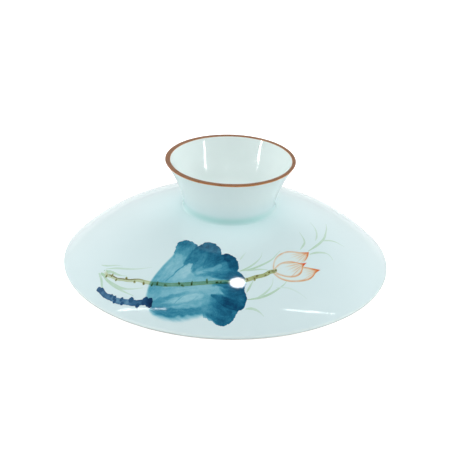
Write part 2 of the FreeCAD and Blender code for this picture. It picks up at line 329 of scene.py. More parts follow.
def dome_slope(shape, r):
    """The change of that height with radius."""
    u = r / shape.rim_radius
    steep = 2 * (1 - shape.fullness) * u + 6 * shape.fullness * u ** 5
    return -(shape.apex - shape.edge_top) * steep / shape.rim_radius


def on_dome(shape, plan, lift):
    """The points over plan positions that stand off the dome by lift, along its normal."""
    r = np.maximum(np.hypot(plan[..., 0], plan[..., 1]), 1e-9)
    slope = dome_slope(shape, r)
    run = np.hypot(1.0, slope)
    out = -slope / run * lift
    x = plan[..., 0] * (1 + out / r)
    y = plan[..., 1] * (1 + out / r)
    return np.stack((x, y, dome_height(shape, r) + lift / run), -1)


WALL_CENTRE = 2.6 * MM
WALL_THINNING = 1.1 * MM


def wall_thickness(r, rim_radius):
    """Thickness of the whole wall, both glazes included, which thins with the square of radius."""
    return WALL_CENTRE - WALL_THINNING * (r / rim_radius) ** 2


AROUND = 360    # points round the axis


def turn():
    """Angles once round the axis."""
    return np.linspace(0, 2 * math.pi, AROUND, endpoint=False)


def circle_rows(radii, centre_x):
    """Plan positions of circles of these radii; the centre's x may differ from row to row."""
    a = turn()
    radii, centre_x = np.broadcast_arrays(np.asarray(radii, float), centre_x)
    return np.stack((
        centre_x[:, None] + radii[:, None] * np.cos(a), radii[:, None] * np.sin(a),
    ), -1)


def profile_rows(profile, centre_x=0.0):
    """A profile of radius and height, carried round the axis at centre_x."""
    plan = circle_rows(profile[:, 0], centre_x)
    height = np.broadcast_to(profile[:, 1][:, None], plan.shape[:2])
    return np.concatenate((plan, height[..., None]), -1)


RIM_EDGE = [(45.70, 1.527), (45.90, 1.26), (45.99, 0.95), (45.96, 0.65), (45.78, 0.36)]
FOOT = [(45.77, 0.32), (45.68, 0.12), (45.45, 0.0), (44.95, 0.0), (44.72, 0.14), (44.61, 0.46)]
UNDERSIDE_END = 45.7 * MM
# A coat's hidden face lies this far into the coat, as a share of its thickness
SUNK = 0.9


def dome_coat_mesh(shape):
    """The glaze on the dome, from the knob's collar to the rim's upright edge.

    Its rows blend from a circle about the knob's axis to the rim about the dome's axis.
    """
    share = np.linspace(0, 1, 150)
    last = RIM_EDGE[0][0] * MM
    radii = shape.collar + (last - shape.collar) * share
    plan = circle_rows(radii, shape.knob_x * (1 - share))
    top = on_dome(shape, plan, 0.0)
    edge = profile_rows(spline(np.array(RIM_EDGE) * MM, 14))[1:]
    back = on_dome(shape, plan[::-4], -SUNK * shape.glaze)
    points, quads = ring_form(np.concatenate((top, edge, back)))
    r = np.hypot(points[:, 0], points[:, 1])
    thin = 0.5 * ease((r - 45.8 * MM) / (0.2 * MM))
    mesh = Mesh()
    mesh.add(points, quads, thin=thin, pool=dome_pool(shape, points))
    return mesh


def dome_pool(shape, points):
    """How much glaze has gathered: most at the knob's base, easing out over the collar and the dome."""
    away = np.maximum(np.hypot(points[..., 0] - shape.knob_x, points[..., 1]) - POOL_TOE, 0)
    return 0.10 * np.exp(-away / (0.8 * MM)) + 0.08 * np.exp(-away / (7 * MM))


def under_coat_mesh(shape):
    """The glaze inside the dome: the dome's own surface, moved in by the thickness of the wall."""
    r = np.linspace(0, UNDERSIDE_END, 140)
    thickness = wall_thickness(r, shape.rim_radius)[:, None]
    plan = circle_rows(r, 0.0)
    inside = on_dome(shape, plan, -thickness)
    hidden = on_dome(shape, plan, shape.glaze * SUNK - thickness)
    points, quads, fans = poled_form(np.concatenate((hidden, inside[::-1])))
    r = np.hypot(points[:, 0], points[:, 1])
    thin = 0.4 * ease((r - 43.9 * MM) / (0.8 * MM))
    pool = 0.28 * np.exp(-((r / (16 * MM)) ** 2))
    mesh = Mesh()
    mesh.add(points, quads, fans, thin=thin, pool=pool)
    return mesh


def lid_body_mesh(shape):
    """The thrown porcelain: two faces inside the glazes, joined round the bare foot."""
    r = np.linspace(0, shape.rim_radius, 90)
    outer = on_dome(shape, circle_rows(r, 0.0), -shape.glaze)
    foot = profile_rows(spline(np.array(FOOT) * MM, 26))
    r = np.linspace(0, UNDERSIDE_END, 90)[::-1]
    thickness = wall_thickness(r, shape.rim_radius)[:, None]
    inner = on_dome(shape, circle_rows(r, 0.0), shape.glaze - thickness)
    mesh = Mesh()
    mesh.add(*poled_form(np.concatenate((outer, foot, inner))))
    return mesh


# ---------------------------------------------------------------------------------------------
# The knob
# ---------------------------------------------------------------------------------------------
# Radius and height, in millimetres, of the upright knob's wall and of its well
KNOB_OUTSIDE = [
    (19.0, 33.6), (18.22, 32.3), (16.3, 29.0), (14.65, 25.55), (13.45, 22.45), (12.95, 20.5), (12.8, 17.0),
]
KNOB_WELL = [
    (17.85, 33.6), (17.05, 32.4), (15.3, 29.6), (13.5, 27.3), (11.3, 25.35), (8.5, 23.95), (5.0, 23.45),
    (0.0, 23.4),
]
BAND_DROP = 0.45 * MM         # how far the brown wash runs down outside the ring
BAND_SHIFT = 0.18 * MM        # how far the well's mouth is set to the right in the ring
BAND_SKIN = 0.03 * MM         # how far the wash stands out from the glaze
RING_ROUNDING = 0.16 * MM     # radius of the ring's two edges
RING_FLARE = 0.61             # how much the wall under the ring widens with height
POOL_START = 20.1 * MM        # height at which the wall runs into the pooled fillet
POOL_TOE = 13.45 * MM         # radius at which the fillet meets the dome
POOL_ROOT = 13.1 * MM         # radius of the fillet's hidden inner foot
FILLET_DOWN = 1.6 * MM        # pull of the wall's direction on the fillet
FILLET_OUT = 0.8 * MM         # pull of the dome's slope on it
CLAY_TOP_GAP = 0.2 * MM
SLIP_THICKNESS = 0.1 * MM


def leaned(points):
    """Points of the upright knob, turned to the back about the pivot at its base."""
    c, s = math.cos(KNOB_LEAN), math.sin(KNOB_LEAN)
    y, z = points[..., 1], points[..., 2] - LEAN_PIVOT
    return np.stack((points[..., 0], y * c + z * s, LEAN_PIVOT - y * s + z * c), -1)


def side_profile(points, high, low, count):
    """The stretch of a profile between two heights, evenly spaced."""
    curve = spline(np.array(points) * MM, 600)
    heights = curve[:, 1]
    keep = (heights <= high) & (heights >= low)
    stretch = curve[keep]
    return spline(stretch[:: max(1, len(stretch) // 60)], count)


def moved(profile, distance):
    """A profile moved sideways, square to itself: to the outside where distance is positive."""
    along = np.gradient(profile, axis=0)
    along /= np.linalg.norm(along, axis=1)[:, None]
    return profile + np.stack((-along[:, 1], along[:, 0]), -1) * distance


def knob_pool(shape, points):
    """How much glaze has gathered round the knob's base.

    It is deepest in the fillet, where the height above the dome is small. It is made stronger still at the
    front, the side towards the camera: that extra darkening there is painted shade, not more glaze.
    """
    r = np.hypot(points[:, 0], points[:, 1])
    above = np.maximum(points[:, 2] - dome_height(shape, r), 0)
    x, y = points[:, 0] - shape.knob_x, points[:, 1]
    out = np.hypot(x, y)
    # painted shade: the pooled colour is darkened more on the front side, towards the camera, than at the
    # back
    front_shade = 0.45 + 0.55 * ease((-y / out - 0.35) / 0.6)
    level = np.exp(-((above - 0.5 * MM) / (1.35 * MM)) ** 2)
    deep = 0.92 * front_shade * level * ease((POOL_TOE + 0.2 * MM - out) / (0.9 * MM))
    skirt = dome_pool(shape, points) * np.exp(-above / (1.6 * MM))
    wall = 0.10 * np.exp(-above / (6 * MM)) * ease(above / MM)
    return deep + skirt + wall


def knob_coat_mesh(shape):
    """The glaze outside the knob: its wall, then a fillet that runs out tangent to the dome.

    The fillet is a cubic with the wall's direction at its top and the dome's slope at its toe,
    worked out for each angle, because the knob isn't quite on the dome's axis.
    """
    wall = side_profile(KNOB_OUTSIDE, shape.knob_top - 0.35 * MM, POOL_START, 90)
    wall_rows = leaned(profile_rows(wall, shape.knob_x))
    start = wall_rows[-1]
    angle = turn()
    toe_plan = circle_rows([POOL_TOE], shape.knob_x)[0]
    toe = on_dome(shape, toe_plan, 0.0)
    radial = np.stack((np.cos(angle), np.sin(angle), np.zeros_like(angle)), -1)
    r = np.hypot(toe_plan[:, 0], toe_plan[:, 1])
    fall = dome_slope(shape, r) * (toe_plan * radial[:, :2]).sum(-1) / r
    first = wall_rows[-1] - wall_rows[-2]
    first *= FILLET_DOWN / np.linalg.norm(first, axis=1)[:, None]
    last = FILLET_OUT * (radial + np.stack((0 * fall, 0 * fall, fall), -1))
    t = np.linspace(0, 1, 40)[1:, None, None]
    fillet = (
        (2 * t ** 3 - 3 * t ** 2 + 1) * start + (t ** 3 - 2 * t ** 2 + t) * first
        + (3 * t ** 2 - 2 * t ** 3) * toe + (t ** 3 - t ** 2) * last
    )
    skirt = on_dome(shape, circle_rows(np.linspace(POOL_TOE, shape.collar, 8)[1:], shape.knob_x), 0.0)
    visible = np.concatenate((wall_rows, fillet, skirt))
    hidden_toe = on_dome(shape, circle_rows([shape.collar, POOL_ROOT], shape.knob_x), -SUNK * shape.glaze)
    hidden_wall = leaned(profile_rows(moved(wall, -SUNK * shape.glaze)[::-6], shape.knob_x))
    points, quads = ring_form(np.concatenate((visible, hidden_toe, hidden_wall)))
    reach = np.linalg.norm(points - [shape.knob_x, 0, LEAN_PIVOT], axis=1)
    edge = np.linalg.norm([shape.ring_radius, shape.knob_top - LEAN_PIVOT])
    thin_wall = 0.60 * ease((points[:, 2] - 19.5 * MM) / (7 * MM))
    thin_edge = 0.4 * ease((reach - edge + 1.3 * MM) / (0.9 * MM))
    mesh = Mesh()
    mesh.add(points, quads, pool=knob_pool(shape, points), thin=thin_wall + thin_edge)
    return mesh


def well_coat_mesh(shape):
    """The glaze inside the knob, from the ring down to the middle of the floor."""
    well = side_profile(KNOB_WELL, shape.knob_top - 0.12 * MM, 0.0, 120)
    well[-1, 0] = 0.0
    rows = profile_rows(well, shape.knob_x)
    rows[..., 0] += BAND_SHIFT * ease((rows[..., 2] - 27 * MM) / (5 * MM))
    hidden = profile_rows(moved(well, SUNK * shape.glaze)[::-1], shape.knob_x)
    points, quads, fans = poled_form(np.concatenate((hidden, rows)))
    r = np.hypot(points[:, 0] - shape.knob_x, points[:, 1])
    gather = np.exp(-(((r - 8.8 * MM) / (2.8 * MM)) ** 2))
    pool = 0.04 + 0.16 * gather + 0.06 * ease((12.5 * MM - r) / (5 * MM))
    thin = 0.85 + 0.15 * ease((points[:, 2] - shape.knob_top + 0.9 * MM) / (0.6 * MM))
    mesh = Mesh()
    mesh.add(leaned(points), quads, fans, pool=pool, thin=thin)
    return mesh


def knob_body_mesh(shape):
    """The thrown knob inside its glazes: its base is a copy of the dome, raised by the slip."""
    wall = side_profile(KNOB_OUTSIDE, shape.knob_top - CLAY_TOP_GAP, 19.6 * MM, 50)
    outer = profile_rows(moved(wall, -shape.glaze), shape.knob_x)
    outer[..., 2] = np.minimum(outer[..., 2], shape.knob_top - CLAY_TOP_GAP)
    base_radii = np.linspace(12.5 * MM, 0, 20)
    base = on_dome(shape, circle_rows(base_radii, shape.knob_x), SLIP_THICKNESS)
    well = side_profile(KNOB_WELL, shape.knob_top - CLAY_TOP_GAP, 0.0, 60)
    well[-1, 0] = 0.0
    inner = profile_rows(moved(well, shape.glaze)[::-1], shape.knob_x)
    inner[..., 2] = np.minimum(inner[..., 2], shape.knob_top - CLAY_TOP_GAP)
    mesh = Mesh()
    mesh.add(*poled_form(np.concatenate((leaned(inner), leaned(outer), base))))
    return mesh


def rim_band_mesh(shape):
    """The brown wash on the ring: up over the outside edge, across the flat top and just inside.

    Its section is a rounded hook, and its lower and inner borders waver as a brushed line does.
    """
    angle = turn()
    top, outer = shape.knob_top, shape.ring_radius
    inner = outer - shape.ring_width
    lower = BAND_DROP * (0.80 + 0.16 * waver(3 * angle, 5) + 0.05 * waver(13 * angle, 6))
    inside = 0.10 * MM * (1.0 + 0.5 * waver(4 * angle, 7))
    corner = RING_ROUNDING

    def at(radius, height):
        x, y = shape.knob_x + radius * np.cos(angle), radius * np.sin(angle)
        return np.stack(np.broadcast_arrays(x, y, height), -1)

    rows = []
    for share in (1.0, 0.75, 0.5, 0.25, 0.0):
        rows.append(at(outer - RING_FLARE * (share * lower) + BAND_SKIN, top - corner - share * lower))
    outside = outer + BAND_SKIN
    for a in np.linspace(0.1, 0.5 * math.pi, 8):
        rows.append(at(outside - corner + corner * math.cos(a), top - corner + corner * math.sin(a)))
    inner_at = inner + BAND_SHIFT * np.cos(angle)
    for share in np.linspace(0, 1, 10)[1:-1]:
        rows.append(at(outer - corner + (inner_at + corner - outer + corner) * share, top + 0 * angle))
    for a in np.linspace(0.5 * math.pi, math.pi - 0.2, 8):
        rows.append(at(inner_at + corner + corner * math.cos(a), top - corner + corner * math.sin(a)))
    rows.append(at(inner_at - 0.5 * inside, top - corner - inside))
    visible = len(rows)
    rows.append(at(inner_at + 0.25 * MM, top - corner - 0.9 * inside))
    rows.append(at(outer - 0.35 * MM, top - corner - 0.7 * lower))
    points, quads = ring_form(leaned(np.array(rows)))
    across = np.concatenate((np.linspace(0, 1, visible), [1.0, 0.0]))
    mesh = Mesh()
    mesh.add(points, quads, across=np.repeat(across, AROUND))
    return mesh


# ---------------------------------------------------------------------------------------------
# The painting. Plan positions are in millimetres, x to the right and y to the back.
# ---------------------------------------------------------------------------------------------
# How far each film stands off the dome, and how far all of them reach into the glaze
LEAF_LIFT = 0.03 * MM
STEM_LIFT = 0.06 * MM
THORN_LIFT = 0.09 * MM
STALK_LIFT = 0.045 * MM
KNUCKLE_LIFT = 0.050 * MM
GRASS_LIFT = 0.015 * MM
PETAL_LIFT = 0.040 * MM
TIP_LIFT = 0.060 * MM
FILM_SINK = 0.05 * MM
# Films of one piece that cross stand this much higher, one after another, and petals this much
LIFT_STEP = 0.002 * MM
PETAL_STEP = 0.006 * MM

# The leaf's border, one lobe after another, and last the soft side that closes it
LEAF_LOBES = [
    [(-13.8, -21.6), (-13.6, -20.2), (-13.1, -19.2), (-12.2, -18.9), (-11, -18.8), (-10, -19.2),
     (-8.9, -20), (-7.6, -21.6)],
    [(-7.6, -21.6), (-6.7, -20.9), (-5.5, -20.3), (-4.3, -20.4), (-3, -20.9), (-1.9, -22.2),
     (-1.2, -23.6), (-1.1, -24.7)],
    [(-1.1, -24.7), (0.2, -24.5), (1.4, -24.9), (2.6, -25.7), (3.3, -26.7), (3.6, -28), (3.5, -29.2),
     (3.3, -30)],
    [(3.3, -30), (4.2, -30.6), (5.3, -31.5), (5.7, -32.6), (5.7, -33.8), (5.2, -35.2)],
    [(5.2, -35.2), (5.8, -36.2), (6, -37.4), (5.9, -38.5), (5.4, -39.7), (3.8, -40.6)],
    [(3.8, -40.6), (2.8, -42.4), (1.3, -43.5), (-0.4, -43.9), (-2, -43.6), (-3.6, -42.9), (-5.2, -42.1)],
    [(-5.2, -42.1), (-8, -42.6), (-11, -42.7), (-14, -42.3), (-17, -41.2), (-19.8, -39.2),
     (-21.2, -36.8), (-21.7, -34.4), (-21.3, -32.2), (-20.4, -30.2), (-18.7, -28.0), (-17.0, -26.1),
     (-15.4, -24.4), (-14.3, -23.0), (-13.8, -21.6)],
]
LEAF_CENTRE = (-7.5, -31.5)
HAIR_ROOT = (-24, -35)      # the brush's hairs fan out from here

# Each dab of the leaf's brush: its path, half widths along it, strengths along it, edge softness
LEAF_DABS = [
    # the pale wash and its lights
    ([(-19.5, -33), (-13, -31), (-6, -31)], (5, 9, 9), (0.50, 0.42, 0.42), 3.0),
    ([(-14.5, -25), (-16.5, -28), (-18.8, -30.5)], (1.6, 2.4, 2.6), (0.46, 0.54, 0.60), 1.4),
    ([(-13.6, -26), (-15, -28.4), (-17, -31)], (1.1, 1.6, 1.6), (0.36, 0.38, 0.50), 0.9),
    ([(-9.6, -28.6), (-11, -30), (-13.5, -31.3)], (1.0, 1.7, 0.9), (0.27, 0.28, 0.36), 1.1),
    ([(-11, -27.6), (-13.5, -29.7), (-16, -31.6)], (0.16, 0.20, 0.14), (0.90, 0.80, 0.70), 0.25),
    ([(-20.4, -32), (-18.5, -33.4), (-15, -34.2)], (1.0, 0.9, 0.6), (0.62, 0.58, 0.48), 0.9),
    ([(-16.5, -35), (-10, -34.8), (-4, -34.9)], (0.9, 1.0, 0.9), (0.44, 0.37, 0.36), 0.9),
    ([(-19.4, -36.6), (-14, -36.1), (-8, -36.0), (-3.5, -36.6)],
     (0.8, 0.6, 0.35, 0.3), (0.72, 0.66, 0.48, 0.42), 0.6),
    ([(-15, -37.9), (-11, -37.1), (-6, -37.0)], (0.5, 0.8, 0.6), (0.38, 0.30, 0.34), 0.7),
    ([(-13.4, -37.9), (-11.6, -36.7), (-8.4, -36.2)], (0.10, 0.14, 0.10), (0.58, 0.52, 0.44), 0.25),
    ([(-13.0, -38.4), (-10, -38.2), (-7, -37.0)], (0.10, 0.14, 0.10), (0.58, 0.54, 0.44), 0.25),
    ([(-19.2, -37.6), (-15, -38.2), (-10, -38.4), (-5, -38.2)],
     (0.6, 0.5, 0.3, 0.5), (0.74, 0.62, 0.46, 0.46), 0.6),
    ([(-16, -39.3), (-11, -39.0), (-6, -39.2)], (0.5, 0.6, 0.5), (0.50, 0.44, 0.44), 0.6),
    ([(-19.4, -38.3), (-14, -40.0), (-8, -40.5), (-4.5, -40.6)],
     (0.9, 1.0, 0.8, 0.8), (0.98, 1.0, 0.86, 0.80), 0.9),
    # first lobe
    ([(-12.2, -18.6), (-12.0, -22), (-12.4, -25.6)], (3.1, 2.7, 1.9), (1.02, 0.84, 0.44), 1.3),
    ([(-9.4, -20), (-9.6, -23), (-10.6, -26)], (1.4, 1.2, 1.0), (0.92, 0.76, 0.60), 0.9),
    ([(-11.5, -19), (-11.5, -20.4), (-11.8, -21.8)], (2.0, 1.9, 1.0), (1.14, 1.06, 0.92), 1.0),
    ([(-13.2, -24.2), (-12.8, -25.6), (-13.4, -27.4)], (0.8, 1.0, 0.6), (0.42, 0.40, 0.40), 0.8),
    # second lobe
    ([(-4.6, -21), (-5.4, -25), (-7.8, -29.4)], (3.8, 3.7, 1.3), (1.40, 1.04, 0.90), 1.0),
    ([(-7.4, -22.3), (-9.0, -25.0), (-10.8, -27.2)], (1.0, 1.2, 0.7), (1.34, 1.12, 0.98), 0.7),
    ([(-4.8, -20.6), (-4.8, -22.2), (-5.2, -23.8)], (3.0, 3.0, 1.8), (1.56, 1.56, 1.30), 1.1),
    ([(-1.9, -23.2), (-2.6, -25.5), (-4.6, -27.6)], (0.8, 1.3, 1.2), (1.36, 1.30, 1.12), 0.8),
    ([(-6.0, -25.4), (-7.0, -27.2), (-8.4, -28.4)], (1.0, 1.1, 0.5), (0.96, 0.84, 0.78), 0.8),
    ([(-7.6, -26.0), (-8.6, -27.6), (-9.2, -29.0)], (0.35, 0.45, 0.2), (1.05, 1.0, 0.7), 0.5),
    ([(-8.0, -24.4), (-8.9, -26.8)], (1.3, 0.9), (1.14, 0.96), 0.9),
    # third lobe
    ([(2.6, -27.3), (-1, -29.2), (-7, -30.4)], (2.4, 2.3, 1.4), (1.24, 0.84, 0.60), 1.1),
    ([(0.6, -25.2), (-1.6, -26.6), (-5.4, -28.9)], (1.2, 1.3, 0.6), (1.56, 1.36, 0.96), 0.8),
    ([(1.0, -25.6), (2.1, -27.4), (2.4, -29.6)], (1.4, 1.6, 1.1), (1.80, 1.74, 1.50), 0.9),
    ([(-1.4, -28.6), (-4.4, -29.9), (-7.4, -30.6)], (0.7, 0.6, 0.4), (0.66, 0.54, 0.44), 0.7),
    # fourth lobe
    ([(4.2, -31.7), (0, -31.5), (-5.6, -31.0)], (1.6, 1.1, 0.4), (1.42, 1.16, 0.66), 0.9),
    ([(4.6, -31.6), (1.6, -31.4)], (0.9, 0.8), (1.56, 1.40), 0.8),
    ([(0.6, -30.7), (-2.6, -30.6), (-6.0, -30.2)], (0.3, 0.3, 0.15), (1.10, 0.90, 0.60), 0.4),
    ([(4.6, -34.2), (1, -34.3), (-3.0, -34.2)], (1.3, 1.0, 0.3), (1.42, 1.26, 0.80), 0.9),
    # fifth lobe
    ([(4.4, -37.2), (1.4, -36.4), (-1.0, -35.5)], (2.6, 1.6, 0.3), (1.50, 1.36, 0.80), 0.9),
    ([(5.2, -35.6), (3.4, -36.0), (1.4, -35.6)], (0.9, 0.9, 0.4), (1.62, 1.60, 1.40), 0.6),
    ([(4.8, -37.6), (3.0, -37.8), (1.2, -37.2)], (0.7, 0.6, 0.3), (1.22, 1.20, 1.24), 0.6),
    # sixth lobe
    ([(3.0, -39.6), (-0.6, -39.2), (-4.6, -38.2)], (2.4, 2.3, 1.3), (1.46, 1.30, 0.56), 1.4),
    ([(1.0, -41.6), (-2.0, -40.8), (-5.0, -40.2)], (2.7, 2.2, 1.3), (1.26, 1.18, 0.72), 1.2),
    ([(4.2, -39.6), (0.6, -38.8), (-3.3, -37.2)], (0.9, 1.3, 0.3), (1.66, 1.80, 1.20), 0.7),
    ([(1.4, -41.0), (-1.4, -40.4), (-3.6, -39.2)], (0.8, 0.7, 0.2), (1.56, 1.46, 1.00), 0.8),
    ([(-0.6, -43.4), (-3.2, -42.2), (-4.6, -41.2)], (0.8, 0.6, 0.3), (1.36, 1.20, 1.00), 0.7),
]

FLOWER_STEM = [
    (-33.3, -21), (-32.5, -22.9), (-31.2, -24.2), (-29.6, -25.9), (-28, -26.9), (-26, -28.1), (-24, -28.8),
    (-22, -30), (-20, -31.1), (-18, -31.9), (-16, -32.6), (-14, -33), (-12, -33.3), (-10, -33.5),
    (-5, -33.6), (-2, -33.5), (0, -33.4), (3, -33.1), (5.8, -32.4), (7.2, -31.8), (8.5, -31.1),
    (10, -30.5), (11.3, -29.7), (12.2, -28.9), (13.6, -28.3),
]

# Each thorn: its foot, its length and its direction in degrees
THORNS = [
    (-32.6, -23.1, 0.9, 70), (-31.0, -23.9, 0.9, 60), (-29.7, -26.0, 0.9, 20), (-27.0, -26.9, 0.9, 100),
    (-24.7, -29.1, 0.8, -60), (-22.1, -30.3, 1.1, 95), (-19.7, -31.5, 1.1, 60), (-18.3, -31.6, 1.2, 80),
    (-16.0, -32.9, 1.2, -30), (-12.4, -32.9, 0.9, 110), (-11.4, -33.8, 1.1, -30), (-8.9, -33.4, 1.3, 80),
    (-4.8, -33.1, 1.5, 95), (-2.0, -33.6, 1.0, 10), (-1.0, -33.5, 0.8, 30), (6.1, -32.4, 1.0, -60),
    (8.0, -31.9, 1.0, -80), (8.9, -30.8, 1.0, 20), (11.2, -30.1, 0.9, 30), (12.2, -28.9, 1.1, 50),
    (13.3, -28.4, 1.4, 10), (13.9, -27.9, 0.9, 80),
]

CUT_STALK = [
    (-34.6, -26.0), (-33.8, -27), (-33, -28.4), (-32, -29.5), (-31, -30.4), (-30, -31.4), (-28.5, -32.6),
    (-27, -33.4), (-25.5, -34.2), (-24, -34.9), (-22, -35.4), (-20.1, -36.0),
]
# Each knuckle on the stalk: its place and radius
KNUCKLES = [
    (-34.7, -25.8, 0.6), (-34.0, -26.6, 0.7), (-31.0, -29.9, 0.45), (-30.1, -30.9, 0.5), (-30.0, -31.8, 0.5),
    (-28.1, -32.3, 0.5), (-27.9, -33.4, 0.45), (-25.4, -33.6, 0.7), (-23.6, -35.7, 0.55),
    (-21.6, -35.2, 0.9), (-20.4, -36.0, 1.05), (-20.2, -36.8, 0.6),
]

# Each blade of grass: its path, width, and strength at its root and at its tip
LEFT_GRASS = [
    ([(-34.4, -18.2), (-32.5, -19.8), (-30, -21.2), (-28.3, -22.4)], 0.45, 0.55, 0.25),
    ([(-33, -20.6), (-30, -22.2), (-27, -24), (-23.5, -25.5), (-20, -26.2)], 0.50, 0.55, 0.20),
    ([(-34.8, -21.5), (-34.2, -23), (-33.8, -25.5), (-32.8, -28)], 0.55, 0.70, 0.50),
    ([(-34, -21.7), (-32.5, -24.5), (-30.5, -27), (-28.5, -29), (-25.5, -30.7), (-22.3, -31.6)],
     0.60, 0.85, 0.35),
    ([(-33.8, -22), (-31.8, -25.6), (-29.5, -28.5), (-27, -31), (-24.8, -32.8)], 0.60, 0.85, 0.40),
    ([(-33.2, -20.9), (-31, -23), (-29, -25), (-27, -26.2)], 0.55, 0.90, 0.35),
    ([(-34.3, -21.0), (-33.6, -22.2), (-32.6, -23.8)], 0.60, 1.30, 0.50),
    ([(-33.5, -20.7), (-32.6, -21.8), (-31.6, -23.0)], 0.60, 1.40, 0.50),
    ([(-35.0, -20.6), (-34.5, -21.6), (-34.1, -22.8)], 0.45, 0.60, 0.40),
]
RIGHT_GRASS = [
    ([(3.8, -30), (6.5, -29.2), (9, -27.8), (11, -26.3), (12.8, -24.5), (14, -22.5), (15, -20.8)],
     0.50, 0.95, 0.40),
    ([(4, -29.9), (6, -28.8), (7.5, -27.5), (8.8, -26), (9.8, -24), (10, -22.8)], 0.45, 0.80, 0.25),
    ([(4, -26.3), (5, -24.5), (5.6, -23.5)], 0.40, 0.35, 0.15),
    ([(4.5, -29.8), (8, -29), (11, -28.4), (13, -28.6)], 0.45, 0.70, 0.40),
    ([(6, -35.8), (7, -33.8), (7.8, -32.2)], 0.50, 0.90, 0.45),
    ([(6.2, -37.6), (8.5, -37), (10.5, -36.2), (13, -34.6), (15, -32.8), (16.5, -31), (17.4, -29.2)],
     0.50, 0.95, 0.50),
    ([(8.5, -37), (10.5, -35.6), (12, -34), (13, -32), (13.1, -30.5)], 0.45, 0.60, 0.30),
    ([(14, -33), (17, -32.2), (20, -32.4), (22.5, -33.2)], 0.40, 0.22, 0.12),
    ([(5.8, -39.9), (7.5, -39.6), (9.5, -40), (10.8, -40.8)], 0.55, 0.70, 0.30),
]
UPPER_GRASS = [
    ([(20.6, -18.2), (21.3, -16.5), (21.8, -14.5), (21.3, -12.6), (20.4, -10.8)], 0.50, 0.60, 0.45),
    ([(22.8, -17.8), (24.2, -15.8), (25.6, -13.5), (26.6, -11.5), (27.5, -9), (27.9, -6.5),
      (28.2, -3.5), (28.1, -1)], 0.60, 0.75, 0.40),
    ([(24.9, -12.2), (25.3, -10), (25.2, -7.5), (24.6, -5.5), (23.5, -3.8)], 0.45, 0.45, 0.30),
    ([(27, -11), (28.5, -9.6), (31, -8.5), (33.3, -8.7)], 0.50, 0.60, 0.30),
    ([(23.2, -18.8), (25, -17.2), (27, -16), (28.3, -15.7), (29.3, -16.3), (29.8, -17.2)], 0.60, 0.65, 0.30),
]

# Each petal: its far side and its near side, both from the base to the tip
PETALS = [
    ([(13.0, -28.1), (13.05, -26), (13.6, -23.9), (15.2, -21.7), (17.5, -20.1), (20.5, -19.3), (23, -18.1)],
     [(13.6, -28.1), (16.4, -26.4), (19.4, -24.6), (21.6, -22.4), (22.5, -20.8), (23, -18.1)]),
    ([(13.4, -29.0), (16.5, -28.6), (19, -27), (21.3, -24.3), (23.5, -23.6), (26.2, -22.9)],
     [(12.9, -28.9), (14.2, -29.9), (16.5, -30.4), (19.5, -29.7), (22, -28.4), (24, -26.5), (25, -24.5),
      (26.2, -22.9)]),
    ([(13.0, -28.3), (14.3, -26), (16.5, -24.2), (19, -23.4), (21, -23.1), (22.4, -22.3)],
     [(13.2, -28.6), (15.6, -29.2), (18, -28.9), (19.9, -27.8), (21.1, -26), (21.4, -24.3), (22.4, -22.3)]),
]
# For each: how far back from its point the red of its tip reaches, how far its veins do, and its strength
PETAL_TIPS = [(2.7, 8.5, 0.38), (3.0, 8.5, 0.42), (2.4, 9.0, 1.0)]
BACK_PETAL = 0      # the one whose near side the others hide, except at its tip
VEIN_RATE = 44      # the veins' wave turns this much for each turn about a petal's point


def near_path(x, y, path):
    """Distance to a path of straight runs, and how far along it, from 0 to 1, the nearest place is."""
    path = np.asarray(path, float)
    runs = np.diff(path, axis=0)
    size = np.linalg.norm(runs, axis=1)
    before = np.concatenate(([0.0], np.cumsum(size)))
    best, along = np.full(x.shape, np.inf), np.zeros(x.shape)
    for start, run, long, done in zip(path, runs, size, before):
        t = np.clip(((x - start[0]) * run[0] + (y - start[1]) * run[1]) / long ** 2, 0, 1)
        d = np.hypot(x - start[0] - t * run[0], y - start[1] - t * run[1])
        closer = d < best
        best = np.where(closer, d, best)
        along = np.where(closer, (done + t * long) / before[-1], along)
    return best, along


def leaf_wash(x, y):
    """Strength of the leaf's cobalt at plan positions: dabs laid one over another.

    Each dab pulls the strength towards its own, fully near its path and not at all past its
    width. Slow noise along the brush and quick noise across it give the drag marks of its hairs.
    """
    wash = np.full(np.shape(x), 0.45)
    bend_x, bend_y = x + 0.25 * noise(x * 0.9, y * 0.9, 3), y + 0.25 * noise(x * 0.9, y * 0.9, 4)
    for number, (path, widths, tones, soft) in enumerate(LEAF_DABS):
        points = spline(path, 12) if len(path) > 2 else np.asarray(path, float)
        distance, along = near_path(bend_x, bend_y, points)
        places = np.linspace(0, 1, len(widths))
        half = np.interp(along, places, widths)
        tone = np.interp(along, places, tones)
        streak = noise(distance * 3.2 + 7 * number, along * 2.5, 20 + number)
        edge = soft * (0.75 + 0.5 * noise(along * 9, distance * 0.4, 60 + number))
        cover = ease((half - distance) / edge + 0.5)
        wash = wash + cover * (tone * (1 + 0.10 * streak) - wash)
    spread = np.arctan2(y - HAIR_ROOT[1], x - HAIR_ROOT[0])
    reach = np.hypot(y - HAIR_ROOT[1], x - HAIR_ROOT[0])
    hairs = noise(spread * 38, reach * 0.35, 13) + 0.6 * noise(spread * 90, reach * 0.5, 14)
    frayed = leaf_edge_distance(x, y) + 0.05 * hairs
    return wash * (1 + 0.07 * hairs) * ease(frayed)


